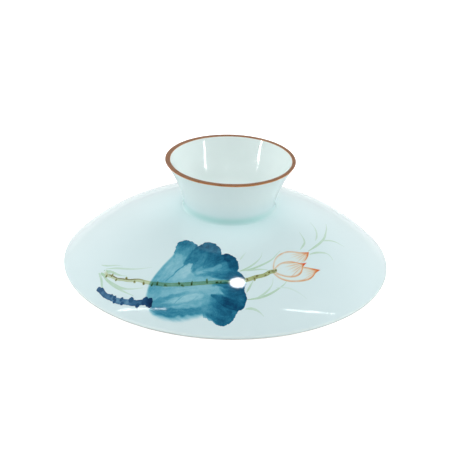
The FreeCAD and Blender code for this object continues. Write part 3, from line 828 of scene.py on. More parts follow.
def leaf_outline(count):
    """The leaf's border, as plan positions: one spline a lobe, with small torn teeth on the lobes."""
    sides = [spline(side, 200) for side in LEAF_LOBES]
    sizes = [np.linalg.norm(np.diff(side, axis=0), axis=1).sum() for side in sides]
    counts = np.round(np.array(sizes) / sum(sizes) * count).astype(int)
    counts[-1] += count - counts.sum()
    border, ragged = [], []
    for number, (side, n) in enumerate(zip(LEAF_LOBES, counts)):
        border.append(spline(side, n + 1)[:-1])
        ragged.append(np.full(n, 0.0 if number == len(LEAF_LOBES) - 1 else 1.0))
    border, ragged = np.concatenate(border), np.concatenate(ragged)
    ahead = np.roll(border, -1, axis=0) - np.roll(border, 1, axis=0)
    ahead /= np.linalg.norm(ahead, axis=1)[:, None]
    place = np.cumsum(np.linalg.norm(border - np.roll(border, 1, axis=0), axis=1))
    teeth = 0.15 * noise(place * 1.3, place * 0, 11) + 0.09 * noise(place * 3.6, place * 0, 12)
    return border + np.stack((-ahead[:, 1], ahead[:, 0]), -1) * (teeth * ragged)[:, None]


def leaf_edge_distance(x, y):
    """How far in from the leaf's soft side a place is, as a share of the side's fading width.

    The side fades slowly at the bottom and quickly at the upper left. Near the torn lobes, where
    nothing fades, the share is large.
    """
    distance, along = near_path(x, y, spline(LEAF_LOBES[-1], 60))
    ends = ease(along / 0.012) * ease((1 - along) / 0.05)
    fade = 1.4 - 0.6 * ease((along - 0.35) / 0.4)
    return distance / fade + 4 * (1 - ends)


def inside_leaf(x, y):
    """1 inside the leaf and 0 outside, by the angle and distance from the leaf's centre."""
    border = leaf_outline(720) - LEAF_CENTRE
    angle = np.arctan2(border[:, 1], border[:, 0])
    order = np.argsort(angle)
    reach = np.hypot(border[:, 0], border[:, 1])
    here = np.arctan2(y - LEAF_CENTRE[1], x - LEAF_CENTRE[0])
    limit = np.interp(here, angle[order], reach[order], period=2 * math.pi)
    return ease((limit - np.hypot(x - LEAF_CENTRE[0], y - LEAF_CENTRE[1])) / 0.12 + 0.5)


def wash_under(plan):
    """The leaf's strength below another brush line."""
    x, y = plan[..., 0], plan[..., 1]
    return leaf_wash(x, y) * inside_leaf(x, y)


def leaf_mesh(shape):
    """The leaf's film: rings of the border drawn in towards the leaf's centre."""
    around, rings = 760, 118
    border = leaf_outline(around)
    share = np.linspace(0, 1, rings)
    centre = np.array(LEAF_CENTRE)
    plan = centre + share[:, None, None] * (border - centre)
    top = on_dome(shape, plan * MM, LEAF_LIFT)
    bottom = on_dome(shape, plan[[-1, -1, rings // 2, 0]] * MM, -2 * LEAF_LIFT)
    bottom[0] = on_dome(shape, plan[-1] * MM, -0.02 * MM)
    points, quads, fans = poled_form(np.concatenate((top, bottom)))
    x, y = points[:, 0] / MM, points[:, 1] / MM
    mesh = Mesh()
    mesh.add(points, quads, fans, wash=leaf_wash(x, y), pool=dome_pool(shape, points))
    return mesh


def brush_line(mesh, shape, path, half, lift, step=0.16, across=7, **strengths):
    """One brush line laid on the dome: a spline, with points carried to both sides of it.

    half is a function of the share along the line, in millimetres, and so is each strength, of
    the share along and the share across from -1 to 1.
    """
    run = np.linalg.norm(np.diff(np.asarray(path, float), axis=0), axis=1).sum()
    centre = spline(path, max(12, int(run / step)))
    along = np.linspace(0, 1, len(centre))
    ahead = np.gradient(centre, axis=0)
    ahead /= np.linalg.norm(ahead, axis=1)[:, None]
    side = np.stack((-ahead[:, 1], ahead[:, 0]), -1)
    over = np.linspace(-1, 1, across)
    plan = centre[:, None] + side[:, None] * (half(along)[:, None] * over)[..., None]
    points, quads = slab_form(on_dome(shape, plan * MM, lift), on_dome(shape, plan * MM, -FILM_SINK))
    a, o = np.meshgrid(along, over, indexing="ij")
    values = {name: np.tile(strength(a, o).ravel(), 2) for name, strength in strengths.items()}
    values["wash"] = np.tile(wash_under(plan).ravel(), 2)
    values["pool"] = dome_pool(shape, points)
    mesh.add(points, quads, **values)


def round_dab(mesh, shape, x, y, radius, lift, strength):
    """A small round dab: rings about its centre, with an uneven border."""
    angle = np.linspace(0, 2 * math.pi, 28, endpoint=False)
    reach = radius * (1 + 0.14 * waver(2 * angle, int(100 * radius) + 3))
    share = np.array([0.0, 0.3, 0.6, 0.85, 1.0])
    plan = np.stack((
        x + share[:, None] * reach * np.cos(angle), y + share[:, None] * reach * np.sin(angle),
    ), -1)
    top, bottom = on_dome(shape, plan * MM, lift), on_dome(shape, plan[[-1, 0]] * MM, -FILM_SINK)
    points, quads, fans = poled_form(np.concatenate((top, bottom)))
    ink = np.full(len(points), strength)
    wash = wash_under(points[:, :2] / MM)
    mesh.add(points, quads, fans, ink=ink, wash=wash, pool=dome_pool(shape, points))


def stem_half(t):
    """Half the stem's width: about a third of a millimetre at its left tip, growing to a half."""
    return 0.34 + 0.18 * ease((t - 0.10) / 0.35) + 0.04 * waver(40 * t, 9)


def stem_ink(t, o):
    """The stem's olive: thin at the left, paler in the middle of its width than at its edges."""
    body = 0.42 + 0.14 * ease((t - 0.25) / 0.15) + 0.27 * ease((t - 0.68) / 0.12)
    return body * (0.80 + 0.25 * o ** 2 + 0.10 * noise(t * 60, o * 2, 31)) * ease(t / 0.03)


def stem_brown(t, o):
    """Brown drawn as a line along the top of the stem's left part, and in flecks at its right."""
    left = 0.62 * ease((t - 0.04) / 0.03) * (1 - ease((t - 0.16) / 0.16)) * ease((o + 0.1) / 0.7)
    return left + 0.10 * ease((noise(t * 90, o, 33) - 0.1) / 0.5) * ease((t - 0.6) / 0.2)


def stem_mesh(shape):
    """The flower's long stem, one line of olive with brown drawn into it."""
    mesh = Mesh()
    brush_line(mesh, shape, FLOWER_STEM, stem_half, STEM_LIFT, across=9, ink=stem_ink, brown=stem_brown)
    return mesh


def thorn_half(t):
    """Half a thorn's width: the upper half of an ellipse, fullest near its foot."""
    return 0.33 * np.sqrt(np.maximum(1 - (1.7 * t - 0.62) ** 2, 0.01))


def thorn_mesh(shape):
    """Short dabs on the stem, thick at the foot and drawn out to a point."""
    mesh = Mesh()
    for number, (x, y, size, direction) in enumerate(THORNS):
        a = math.radians(direction)
        reach = np.array([math.cos(a), math.sin(a)]) * size * 0.5
        side = np.array([-reach[1], reach[0]]) * 0.12
        path = [np.array([x, y]) - reach, np.array([x, y]) + side, np.array([x, y]) + reach]
        strength = 0.60 + 0.16 * math.sin(3 * number)

        def ink(t, o):
            return strength * ease((1.05 - np.abs(o)) / 0.8) * ease((1.1 - t) / 0.8)

        def stem(t, o):
            return 0.5 + 0 * t

        brush_line(mesh, shape, path, thorn_half, THORN_LIFT, step=0.08, across=7, ink=ink, stem=stem)
    return mesh


def stalk_half(t):
    """Half the stalk's width, which swells and narrows a little along it."""
    return 0.55 + 0.16 * t + 0.07 * waver(30 * t, 14)


def stalk_ink(t, o):
    """The stalk's navy: weaker in the middle of its length, stronger at its edges, and streaked."""
    body = 0.86 - 0.26 * ease(t / 0.4) + 0.40 * ease((t - 0.6) / 0.4)
    return body * (0.84 + 0.22 * o ** 2 + 0.20 * noise(t * 16, o, 41))


def stalk_mesh(shape):
    """The cut stalk: one thick line, its knuckles, and a round wet end."""
    mesh = Mesh()
    brush_line(mesh, shape, CUT_STALK, stalk_half, STALK_LIFT, across=9, ink=stalk_ink)
    for number, (x, y, radius) in enumerate(KNUCKLES):
        strength = 0.80 + 0.05 * max(number - 7, 0)
        round_dab(mesh, shape, x, y, radius, KNUCKLE_LIFT + LIFT_STEP * number, strength)
    return mesh


def grass_mesh(shape, blades):
    """Fine blades, each a line that tapers to its tip and grows fainter."""
    mesh = Mesh()
    for number, (path, width, root, tip) in enumerate(blades):

        def half(t):
            return width * 0.5 * (0.35 + 0.65 * ease(t / 0.25)) * (1 - 0.72 * ease((t - 0.45) / 0.55))

        def ink(t, o):
            return (root + (tip - root) * t) * (1 + 0.18 * noise(t * 14, o, 50 + number))

        brush_line(mesh, shape, path, half, GRASS_LIFT + LIFT_STEP * number, across=5, ink=ink)
    return mesh


def petal_grid(sides, along=170, across=66, start=0.0):
    """Plan positions between a petal's two sides, straight across from one to the other."""
    far, near = (spline(side, along) for side in sides)
    keep = int(start * along)
    over = np.linspace(0, 1, across)
    plan = far[keep:, None] + (near - far)[keep:, None] * over[:, None]
    t = np.linspace(start, 1, along - keep)
    return plan, *np.meshgrid(t, over, indexing="ij")


def petal_ink(number, plan, t, o):
    """How strong the coral is on a petal, t of the way to its tip and o of the way across it.

    Outlines are narrow bells about the two sides. Veins and the red of the tip are combed by
    noise over the angle about the petal's point, so they fan out from it.
    """
    gap = np.linalg.norm(plan[:, -1] - plan[:, 0], axis=1)[:, None]
    back = plan[-1, 0] - plan
    from_tip = np.linalg.norm(back, axis=-1)
    fan = np.arctan2(back[..., 1], back[..., 0])
    red_reach, vein_reach, strength = PETAL_TIPS[number]
    near_share = ease((5.0 - from_tip) / 2.0) * 0.7 if number == BACK_PETAL else 1.0
    dry = 0.10 * noise(t * 14, 0 * t, 70 + number)
    far_line = np.exp(-((o * gap - 0.20) / 0.24) ** 2) * (0.25 + 0.18 * ease(t) + dry)
    near_line = np.exp(-(((1 - o) * gap - 0.20) / 0.26) ** 2) * (0.32 + 0.24 * ease(t) + dry) * near_share
    comb = noise(fan * 9, 0 * fan, 95 + number)
    fine_comb = noise(fan * 26, from_tip * 0.12, 98 + number)
    reach = vein_reach * (0.85 + 0.3 * comb)
    ribs = ease((np.cos(VEIN_RATE * fan + 2 * comb) + 0.2 * fine_comb - 0.1) / 0.9)
    veins = ribs * ease((reach - from_tip) / 4.5)
    tip = strength * ease((red_reach * (1 + 0.22 * fine_comb) - from_tip) / 1.5)
    blush = 0.015 + 0.07 * ease((0.8 * vein_reach - from_tip) / 4.0)
    return np.maximum(far_line, near_line) + 0.33 * veins + blush + tip


def petal_films(shape, along, start, lift):
    """A film for each petal, from a share of its sides to its tip."""
    mesh = Mesh()
    for number, sides in enumerate(PETALS):
        plan, t, o = petal_grid(sides, along=along, start=start)
        ink = np.tile(petal_ink(number, plan, t, o).ravel(), 2)
        top = on_dome(shape, plan * MM, lift + PETAL_STEP * number)
        points, quads = slab_form(top, on_dome(shape, plan * MM, -FILM_SINK))
        mesh.add(points, quads, ink=ink, pool=dome_pool(shape, points))
    return mesh


# ---------------------------------------------------------------------------------------------
# Materials
# ---------------------------------------------------------------------------------------------
# Numbers of a Mix node's two inputs, for values and for colours, which share their names
VALUE_A, VALUE_B, COLOUR_A, COLOUR_B = 2, 3, 6, 7
WHITE = (1, 1, 1, 1)
BLACK = (0, 0, 0, 1)
GLASS_IOR = 1.5


def add_node(tree, kind, links=None, **settings):
    """A node with its settings, and each named or numbered input given a value or linked."""
    node = tree.nodes.new(kind)
    for key, value in settings.items():
        setattr(node, key, value)
    for key, value in (links or {}).items():
        if isinstance(value, bpy.types.NodeSocket):
            tree.links.new(value, node.inputs[key])
        else:
            node.inputs[key].default_value = value
    return node


def maths(tree, operation, *values, clamp=False):
    links = dict(enumerate(values))
    return add_node(tree, "ShaderNodeMath", links, operation=operation, use_clamp=clamp).outputs[0]


def blend_colours(tree, share, first, second, how="MIX"):
    links = {"Factor": share, COLOUR_A: first, COLOUR_B: second}
    node = add_node(tree, "ShaderNodeMix", links, data_type="RGBA", blend_type=how)
    return node.outputs[2]


def point_value(tree, name):
    return add_node(tree, "ShaderNodeAttribute", attribute_name=name).outputs["Fac"]


def object_noise(tree, scale, detail=2.0, roughness=0.5):
    place = add_node(tree, "ShaderNodeTexCoord").outputs["Object"]
    links = {"Vector": place, "Scale": scale, "Detail": detail, "Roughness": roughness}
    return add_node(tree, "ShaderNodeTexNoise", links).outputs["Fac"]


def new_group(name, inputs, outputs):
    tree = bpy.data.node_groups.new(name, "ShaderNodeTree")
    for key, kind in inputs:
        tree.interface.new_socket(name=key, in_out="INPUT", socket_type=kind)
    for key, kind in outputs:
        tree.interface.new_socket(name=key, in_out="OUTPUT", socket_type=kind)
    return tree, tree.nodes.new("NodeGroupInput").outputs, tree.nodes.new("NodeGroupOutput").inputs


def celadon_group():
    """Glaze colour by how much has pooled or run thin, with a faint cloudiness, and its ripples."""
    tree, given, put = new_group(
        "celadon",
        [("Clear", "NodeSocketColor"), ("Pooled", "NodeSocketColor"), ("Thin", "NodeSocketColor"),
         ("Pool", "NodeSocketFloat"), ("Edge", "NodeSocketFloat")],
        [("Colour", "NodeSocketColor"), ("Roughness", "NodeSocketFloat"), ("Ripple", "NodeSocketFloat")],
    )
    cloud = object_noise(tree, scale=55.0, detail=3.0, roughness=0.55)
    drift = maths(tree, "MULTIPLY_ADD", cloud, 0.10, -0.05)
    pool = maths(tree, "ADD", given["Pool"], drift, clamp=True)
    pooled = blend_colours(tree, pool, given["Clear"], given["Pooled"])
    tree.links.new(blend_colours(tree, given["Edge"], pooled, given["Thin"]), put["Colour"])
    fine = object_noise(tree, scale=900.0)
    tree.links.new(maths(tree, "MULTIPLY_ADD", fine, 0.03, 0.045), put["Roughness"])
    slow = object_noise(tree, scale=90.0, detail=1.0)
    quick = object_noise(tree, scale=700.0, detail=1.0)
    tree.links.new(maths(tree, "MULTIPLY_ADD", quick, 0.06, slow), put["Ripple"])
    return tree


def pigment_group():
    """Light through a pigment: what lies under it times the pigment's colour, to its strength."""
    tree, given, put = new_group(
        "pigment",
        [("Under", "NodeSocketColor"), ("Passes", "NodeSocketColor"), ("Strength", "NodeSocketFloat"),
         ("Grain", "NodeSocketFloat")],
        [("Colour", "NodeSocketColor")],
    )
    speck = maths(tree, "SUBTRACT", object_noise(tree, scale=3800.0, detail=3.0, roughness=0.65), 0.5)
    cloud = maths(tree, "SUBTRACT", object_noise(tree, scale=750.0, detail=3.0, roughness=0.6), 0.5)
    both = maths(tree, "MULTIPLY_ADD", cloud, 1.2, speck)
    uneven = maths(tree, "MULTIPLY_ADD", both, given["Grain"], 1.0)
    strength = maths(tree, "MAXIMUM", maths(tree, "MULTIPLY", given["Strength"], uneven), 0.0)
    split = add_node(tree, "ShaderNodeSeparateColor", {"Color": given["Passes"]})
    passed = [maths(tree, "POWER", split.outputs[i], strength) for i in range(3)]
    joined = add_node(tree, "ShaderNodeCombineColor", dict(enumerate(passed)))
    product = blend_colours(tree, 1.0, given["Under"], joined.outputs[0], "MULTIPLY")
    tree.links.new(product, put["Colour"])
    return tree


GROUP_MAKERS = {"celadon": celadon_group, "pigment": pigment_group}


def use_group(tree, name, links):
    """The outputs of a group node, whose node group is made the first time that it is asked for."""
    group = bpy.data.node_groups.get(name) or GROUP_MAKERS[name]()
    return add_node(tree, "ShaderNodeGroup", links, node_tree=group).outputs


def blank_material(name, **constants):
    """A material with one Principled shader, and the constants set on its own sockets."""
    material = bpy.data.materials.new(name)
    material.use_nodes = True
    tree = material.node_tree
    tree.nodes.clear()
    shader = add_node(tree, "ShaderNodeBsdfPrincipled", constants)
    add_node(tree, "ShaderNodeOutputMaterial", {"Surface": shader.outputs[0]})
    return material, tree, shader


def bumped(tree, shader, height, distance):
    """Bump on the shader, of this height at full value."""
    bump = add_node(tree, "ShaderNodeBump", {"Height": height, "Distance": distance, "Strength": 1.0})
    tree.links.new(bump.outputs[0], shader.inputs["Normal"])


def rgba(values):
    return (*values, 1.0)


def glazed(name, *layers):
    """Glossy celadon, under any number of (point value, pigment, grain) layers of painting."""
    colours, paints = bpy.context.scene.lid_glaze, bpy.context.scene.lid_paint
    material, tree, shader = blank_material(name, IOR=GLASS_IOR)
    glaze = use_group(tree, "celadon", {
        "Clear": rgba(colours.clear), "Pooled": rgba(colours.pooled), "Thin": rgba(colours.thin),
        "Pool": point_value(tree, "pool"), "Edge": point_value(tree, "thin"),
    })
    surface = glaze["Colour"]
    for value, pigment, grain in layers:
        surface = use_group(tree, "pigment", {
            "Under": surface, "Passes": rgba(getattr(paints, pigment)),
            "Strength": point_value(tree, value), "Grain": grain,
        })["Colour"]
    tree.links.new(surface, shader.inputs["Base Color"])
    tree.links.new(glaze["Roughness"], shader.inputs["Roughness"])
    bumped(tree, shader, glaze["Ripple"], 0.04 * MM)
    return material


def bare_clay(name, tint):
    """Unglazed porcelain: matt, nearly white, with a fine tooth and faint stains."""
    material, tree, shader = blank_material(name, Roughness=0.55)
    stain = object_noise(tree, scale=260.0, detail=4.0, roughness=0.6)
    dark = rgba([c * 0.86 for c in tint])
    tree.links.new(blend_colours(tree, stain, rgba(tint), dark), shader.inputs["Base Color"])
    rough = maths(tree, "MULTIPLY_ADD", object_noise(tree, scale=1500.0), 0.2, 0.45)
    tree.links.new(rough, shader.inputs["Roughness"])
    bumped(tree, shader, object_noise(tree, scale=4000.0, detail=3.0), 0.03 * MM)
    return material


def iron_wash():
    """The brown edge: dark in the middle of its width, orange where it thins at its borders."""
    colours = bpy.context.scene.lid_glaze
    material, tree, shader = blank_material("iron_wash", **{"IOR": GLASS_IOR, "Specular IOR Level": 0.15})
    ramp = add_node(tree, "ShaderNodeValToRGB", {"Fac": point_value(tree, "across")})
    elements = ramp.color_ramp.elements
    for end in elements:
        end.color = WHITE
    for position, value in ((0.14, 0.55), (0.30, 0.05), (0.72, 0.0), (0.88, 0.45)):
        elements.new(position).color = (value, value, value, 1)
    patch = maths(tree, "SUBTRACT", object_noise(tree, scale=420.0, detail=4.0, roughness=0.6), 0.5)
    share = maths(tree, "MULTIPLY_ADD", patch, 0.7, ramp.outputs[0], clamp=True)
    brown = blend_colours(tree, share, rgba(colours.iron), rgba(colours.iron_edge))
    tree.links.new(brown, shader.inputs["Base Color"])
    tree.links.new(maths(tree, "MULTIPLY_ADD", patch, 0.25, 0.30), shader.inputs["Roughness"])
    bumped(tree, shader, object_noise(tree, scale=2500.0, detail=3.0), 0.03 * MM)
    return material


def stage_floor():
    """White card that looks full white to the eye, with a faint shadow."""
    constants = {"Roughness": 0.9, "Specular IOR Level": 0.0, "Emission Color": WHITE}
    material, tree, shader = blank_material("white_card", **constants)
    card = blend_colours(tree, object_noise(tree, scale=40.0), rgba([0.93] * 3), rgba([0.95] * 3))
    tree.links.new(card, shader.inputs["Base Color"])
    seen = add_node(tree, "ShaderNodeLightPath").outputs["Is Camera Ray"]
    tree.links.new(maths(tree, "MULTIPLY", seen, 0.5), shader.inputs["Emission Strength"])
    return material


# ---------------------------------------------------------------------------------------------
# Operators
# ---------------------------------------------------------------------------------------------
class LID_OT_clay(bpy.types.Operator):
    """The porcelain: the dome's body, the knob's body and the slip that joins them"""

    bl_idname = "lid.clay"
    bl_label = "Porcelain"

    def execute(self, context):
        shape, colours = context.scene.lid_shape, context.scene.lid_glaze
        clay = bare_clay("bare_porcelain", colours.clay)
        lid_body_mesh(shape).build("lid_body", clay, "porcelain", "lid_plate")
        knob_body_mesh(shape).build("knob_body", clay, "porcelain", "knob_cup")
        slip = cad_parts["luting_slip"]
        slip.data.materials.clear()
        slip.data.materials.append(bare_clay("fired_slip", [c * 0.95 for c in colours.clay]))
        return {"FINISHED"}


class LID_OT_glaze(bpy.types.Operator):
    """The celadon glaze on the dome, under it, and outside and inside the knob"""

    bl_idname = "lid.glaze"
    bl_label = "Glaze coats"

    def execute(self, context):
        shape = context.scene.lid_shape
        glaze = glazed("celadon_glaze")
        dome_coat_mesh(shape).build("dome_coat", glaze, "celadon_glaze", "glaze_upper")
        under_coat_mesh(shape).build("under_coat", glaze, "celadon_glaze", "glaze_under")
        knob_coat_mesh(shape).build("knob_coat", glaze, "celadon_glaze", "glaze_knob_outer")
        well_coat_mesh(shape).build("well_coat", glaze, "celadon_glaze", "glaze_knob_well")
        return {"FINISHED"}


class LID_OT_band(bpy.types.Operator):
    """The iron-brown edge on the knob's ring"""

    bl_idname = "lid.band"
    bl_label = "Brown ring edge"

    def execute(self, context):
        rim_band_mesh(context.scene.lid_shape).build("brown_edge", iron_wash(), "iron_brown", "knob_rim_band")
        return {"FINISHED"}


class LID_OT_leaf(bpy.types.Operator):
    """The blue lotus leaf and the dark cut stalk beside it"""

    bl_idname = "lid.leaf"
    bl_label = "Leaf and cut stalk"

    def execute(self, context):
        shape = context.scene.lid_shape
        cobalt = glazed("leaf_paint", ("wash", "cobalt", 0.55))
        leaf_mesh(shape).build("leaf", cobalt, "cobalt_wash", "lotus_leaf")
        navy = glazed("stalk_paint", ("wash", "cobalt", 0.3), ("ink", "navy", 0.35))
        stalk_mesh(shape).build("stalk", navy, "navy_line", "cut_stalk")
        return {"FINISHED"}


class LID_OT_flower(bpy.types.Operator):
    """The flower's stem, its thorns, the petals and their red tips"""

    bl_idname = "lid.flower"
    bl_label = "Stem and flower"

    def execute(self, context):
        shape = context.scene.lid_shape
        olive = glazed("stem_paint", ("wash", "cobalt", 0.3), ("ink", "olive", 0.5), ("brown", "umber", 0.5))
        stem_mesh(shape).build("stem", olive, "olive_line", "flower_stem")
        umber = glazed("thorn_paint", ("wash", "cobalt", 0.3), ("stem", "olive", 0.4), ("ink", "umber", 0.5))
        thorn_mesh(shape).build("thorns", umber, "umber_dabs", "stem_thorns")
        coral = glazed("petal_paint", ("ink", "coral", 0.35))
        petal_films(shape, 240, 0.0, PETAL_LIFT).build("petals", coral, "petal_wash", "lotus_bud")
        red = glazed("tip_paint", ("ink", "coral", 0.3))
        petal_films(shape, 600, 0.84, TIP_LIFT).build("petal_tips", red, "coral_red", "bud_tips")
        return {"FINISHED"}


class LID_OT_grass(bpy.types.Operator):
    """The fine green blades left of the leaf, right of it and above the flower"""

    bl_idname = "lid.grass"
    bl_label = "Grass"

    def execute(self, context):
        shape = context.scene.lid_shape
        green = glazed("grass_paint", ("wash", "cobalt", 0.3), ("ink", "grass", 0.35))
        for name, blades, node in (
            ("left_blades", LEFT_GRASS, "grass_left"),
            ("right_blades", RIGHT_GRASS, "grass_right"),
            ("upper_blades", UPPER_GRASS, "grass_upper"),
        ):
            grass_mesh(shape, blades).build(name, green, "grass_green", node)
        return {"FINISHED"}


SQUARE = ((-1, -1), (1, -1), (1, 1), (-1, 1))
CARD_REACH = 3.0


class LID_OT_stage(bpy.types.Operator):
    """The white card, the soft light and the camera"""

    bl_idname = "lid.stage"
    bl_label = "Stage"

    def execute(self, context):
        scene, setup = context.scene, context.scene.lid_stage
        corners = [(x * CARD_REACH, y * CARD_REACH, 0) for x, y in SQUARE]
        card = bpy.data.meshes.new("card")
        card.from_pydata(corners, [], [(0, 1, 2, 3)])
        card.materials.append(stage_floor())
        floor = bpy.data.objects.new("floor", card)
        scene.collection.objects.link(floor)

        scene.world = white_room(setup)
        scene.view_settings.view_transform = "Standard"

        add_camera(scene, setup)
        add_lamps(scene)
        return {"FINISHED"}


def white_room(setup):
    """White surroundings: full white to the eye and softer as a light.

    As a mirror image they are bright near the horizon and darker overhead.
    """
    world = bpy.data.worlds.new("white_room")
    world.use_nodes = True
    tree = world.node_tree
    seen = add_node(tree, "ShaderNodeLightPath").outputs
    way = add_node(tree, "ShaderNodeTexCoord").outputs["Generated"]
    height = add_node(tree, "ShaderNodeSeparateXYZ", {0: way}).outputs["Z"]
    mirrored = add_node(tree, "ShaderNodeMapRange", {
        "Value": height, "From Min": 0.32, "From Max": 0.78,
        "To Min": setup.horizon, "To Max": setup.overhead,
    }, interpolation_type="SMOOTHSTEP").outputs[0]

    def choose(ray, otherwise, value):
        links = {"Factor": seen[ray], VALUE_A: otherwise, VALUE_B: value}
        return add_node(tree, "ShaderNodeMix", links).outputs[0]

    back = tree.nodes["Background"]
    back.inputs["Color"].default_value = WHITE
    strength = choose("Is Camera Ray", choose("Is Glossy Ray", setup.sky, mirrored), 1.0)
    tree.links.new(strength, back.inputs["Strength"])
    return world


def add_camera(scene, setup):
    """A camera on the -Y side that looks down at the lid, turned a little about its line of sight."""
    level, height = math.cos(setup.elevation), math.sin(setup.elevation)
    place = Vector((0, -setup.distance * level, setup.distance * height))
    ahead = (Vector((setup.aim_x, 0, setup.aim_z)) - place).normalized()
    right = ahead.cross(Vector((0, 0, 1))).normalized()
    up = right.cross(ahead)
    c, s = math.cos(setup.roll), math.sin(setup.roll)
    x_axis, y_axis = right * c + up * s, up * c - right * s
    data = bpy.data.cameras.new("camera")
    data.sensor_width = 36.0
    data.lens = setup.lens
    camera = bpy.data.objects.new("camera", data)
    rotation = Matrix((x_axis, y_axis, -ahead)).transposed().to_4x4()
    camera.matrix_world = Matrix.Translation(place) @ rotation
    scene.collection.objects.link(camera)
    scene.camera = camera


# Soft lights: name, place and power in watts. They aim at the lid's middle.
SOFT_LIGHTS = (
    ("soft_back", (0, 0.9, 0.8), 6.0), ("soft_front", (0, -0.9, 0.8), 7.0),
    ("soft_left", (-1.0, 0.1, 0.55), 7.5), ("soft_right", (1.0, 0.1, 0.55), 7.5),
)
SOFT_SIZE = 1.0
LID_MIDDLE = (0, 0, 0.01)
NARROW_BEAM = math.radians(9)
ROUND_PLACE, ROUND_AIM = (0.0398, -0.0112, 0.406), (0.0036, -0.0336, 0.008)
ROUND_SIZE, ROUND_POWER = 0.0525, 0.0011
# Each row of squares mirrored in the dome: the directions of its start, middle and end from the
# lid, and how many squares
SQUARE_ROWS = [
    ((-0.767, -0.003, 0.642), (-0.630, -0.115, 0.768), (-0.460, -0.198, 0.865), 30),
    ((0.789, 0.049, 0.613), (0.643, -0.077, 0.762), (0.471, -0.157, 0.868), 27),
]
ROW_DISTANCE = 6.0
SQUARE_REACH = 0.032
SQUARE_STRENGTH = 24.0
# Each row of small lamps mirrored in the knob's well: the place on the well's wall that they aim
# at, and the same three directions from there
WELL_ROWS = [
    ((0.0078, 0.0130, 0.0285), (-0.75, -0.40, 0.55), (-0.712, -0.162, 0.683), (-0.58, 0.173, 0.796)),
    ((-0.0064, 0.0130, 0.0285), (0.73, -0.40, 0.56), (0.677, -0.146, 0.722), (0.523, 0.216, 0.824)),
]
WELL_LAMPS, WELL_LAMP_SIZE, WELL_LAMP_POWER = 9, 0.012, 1.2e-4
WELL_LAMP_DISTANCE = 0.4


def row_directions(start, middle, end, count):
    """Directions of length one along the parabola through three."""
    t = np.linspace(0, 1, count)[:, None]
    start, middle, end = (np.array(way) for way in (start, middle, end))
    path = start * (1 - t) * (1 - 2 * t) + middle * 4 * t * (1 - t) + end * t * (2 * t - 1)
    return path / np.linalg.norm(path, axis=1)[:, None]


def add_lamp(scene, name, place, aim, size, power, shape="SQUARE"):
    """An area lamp at a place, turned to face what it aims at."""
    data = bpy.data.lights.new(name, "AREA")
    data.shape = shape
    data.size = size
    data.energy = power
    lamp = bpy.data.objects.new(name, data)
    lamp.location = place
    lamp.rotation_euler = (Vector(aim) - Vector(place)).to_track_quat("-Z", "Y").to_euler()
    scene.collection.objects.link(lamp)
    return lamp


def add_mirrored_lamp(scene, *settings):
    """A lamp with a narrow beam that lights nothing, and is seen only as a mirror image."""
    lamp = add_lamp(scene, *settings)
    lamp.data.spread = NARROW_BEAM
    lamp.visible_diffuse = False
    lamp.visible_camera = False


def add_square_row(scene, name, start, middle, end, count):
    """A row of small bright squares on an arc about the lid, each facing it.

    The squares are seen only as mirror images in the glaze.
    """
    way = row_directions(start, middle, end, count)
    side = np.cross(way, [0, 0, 1])
    side /= np.linalg.norm(side, axis=1)[:, None]
    rise = np.cross(side, way)
    corners = [way * ROW_DISTANCE + (side * a + rise * b) * SQUARE_REACH for a, b in SQUARE]
    points = np.stack(corners, 1).reshape(-1, 3)
    faces = np.arange(len(points)).reshape(-1, 4)
    mesh = bpy.data.meshes.new(name)
    mesh.from_pydata(points.tolist(), [], faces.tolist())
    constants = {"Base Color": BLACK, "Emission Color": WHITE, "Emission Strength": SQUARE_STRENGTH}
    mesh.materials.append(blank_material("small_lamps", **constants)[0])
    row = bpy.data.objects.new(name, mesh)
    row.visible_camera = False
    row.visible_diffuse = False
    row.visible_shadow = False
    scene.collection.objects.link(row)


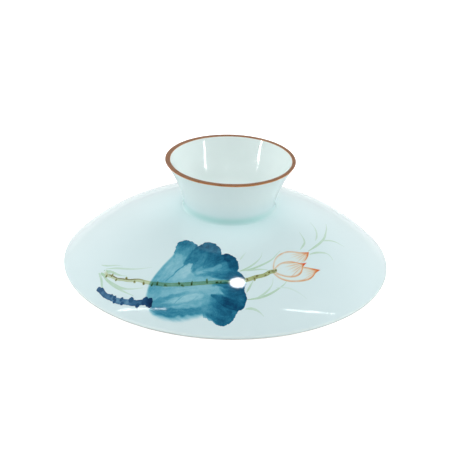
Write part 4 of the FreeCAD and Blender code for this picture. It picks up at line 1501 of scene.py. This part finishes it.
def add_lamps(scene):
    """Soft lights behind, before and at each side, a round lamp, and the rows of small ones.

    The soft lights have no mirror images, as the surroundings stand for those.
    """
    for name, place, power in SOFT_LIGHTS:
        add_lamp(scene, name, place, LID_MIDDLE, SOFT_SIZE, power).visible_glossy = False
    add_mirrored_lamp(scene, "round_lamp", ROUND_PLACE, ROUND_AIM, ROUND_SIZE, ROUND_POWER, "DISK")
    for number, row in enumerate(SQUARE_ROWS):
        add_square_row(scene, "lamp_row_%d" % number, *row)
    for wall, *ways in WELL_ROWS:
        for way in row_directions(*ways, WELL_LAMPS):
            place = Vector(wall) + WELL_LAMP_DISTANCE * Vector(way)
            add_mirrored_lamp(scene, "well_lamp", place, wall, WELL_LAMP_SIZE, WELL_LAMP_POWER)


PANEL_GROUPS = (
    ("lid_shape", LidShape), ("lid_glaze", GlazeColours), ("lid_paint", PaintColours),
    ("lid_stage", StageSetup),
)
OPERATORS = (LID_OT_clay, LID_OT_glaze, LID_OT_band, LID_OT_leaf, LID_OT_flower, LID_OT_grass, LID_OT_stage)


class LID_PT_panel(bpy.types.Panel):
    """Lists the lid's settings and the operators that build it"""

    bl_idname = "LID_PT_panel"
    bl_label = "Gaiwan lid"
    bl_space_type = "VIEW_3D"
    bl_region_type = "UI"
    bl_category = "Gaiwan lid"

    def draw(self, context):
        for name, kind in PANEL_GROUPS:
            box = self.layout.box()
            box.label(text=kind.__name__)
            for key in kind.__annotations__:
                box.prop(getattr(context.scene, name), key)
        for operator in OPERATORS:
            self.layout.operator(operator.bl_idname)


CLASSES = (*(kind for _, kind in PANEL_GROUPS), *OPERATORS, LID_PT_panel)


def register():
    for kind in CLASSES:
        bpy.utils.register_class(kind)
    for name, kind in PANEL_GROUPS:
        setattr(bpy.types.Scene, name, PointerProperty(type=kind))


def unregister():
    for name, _ in PANEL_GROUPS:
        delattr(bpy.types.Scene, name)
    for kind in reversed(CLASSES):
        bpy.utils.unregister_class(kind)


def main():
    register()
    for operator in OPERATORS:
        family, name = operator.bl_idname.split(".")
        getattr(getattr(bpy.ops, family), name)()


if __name__ == "__main__":
    main()
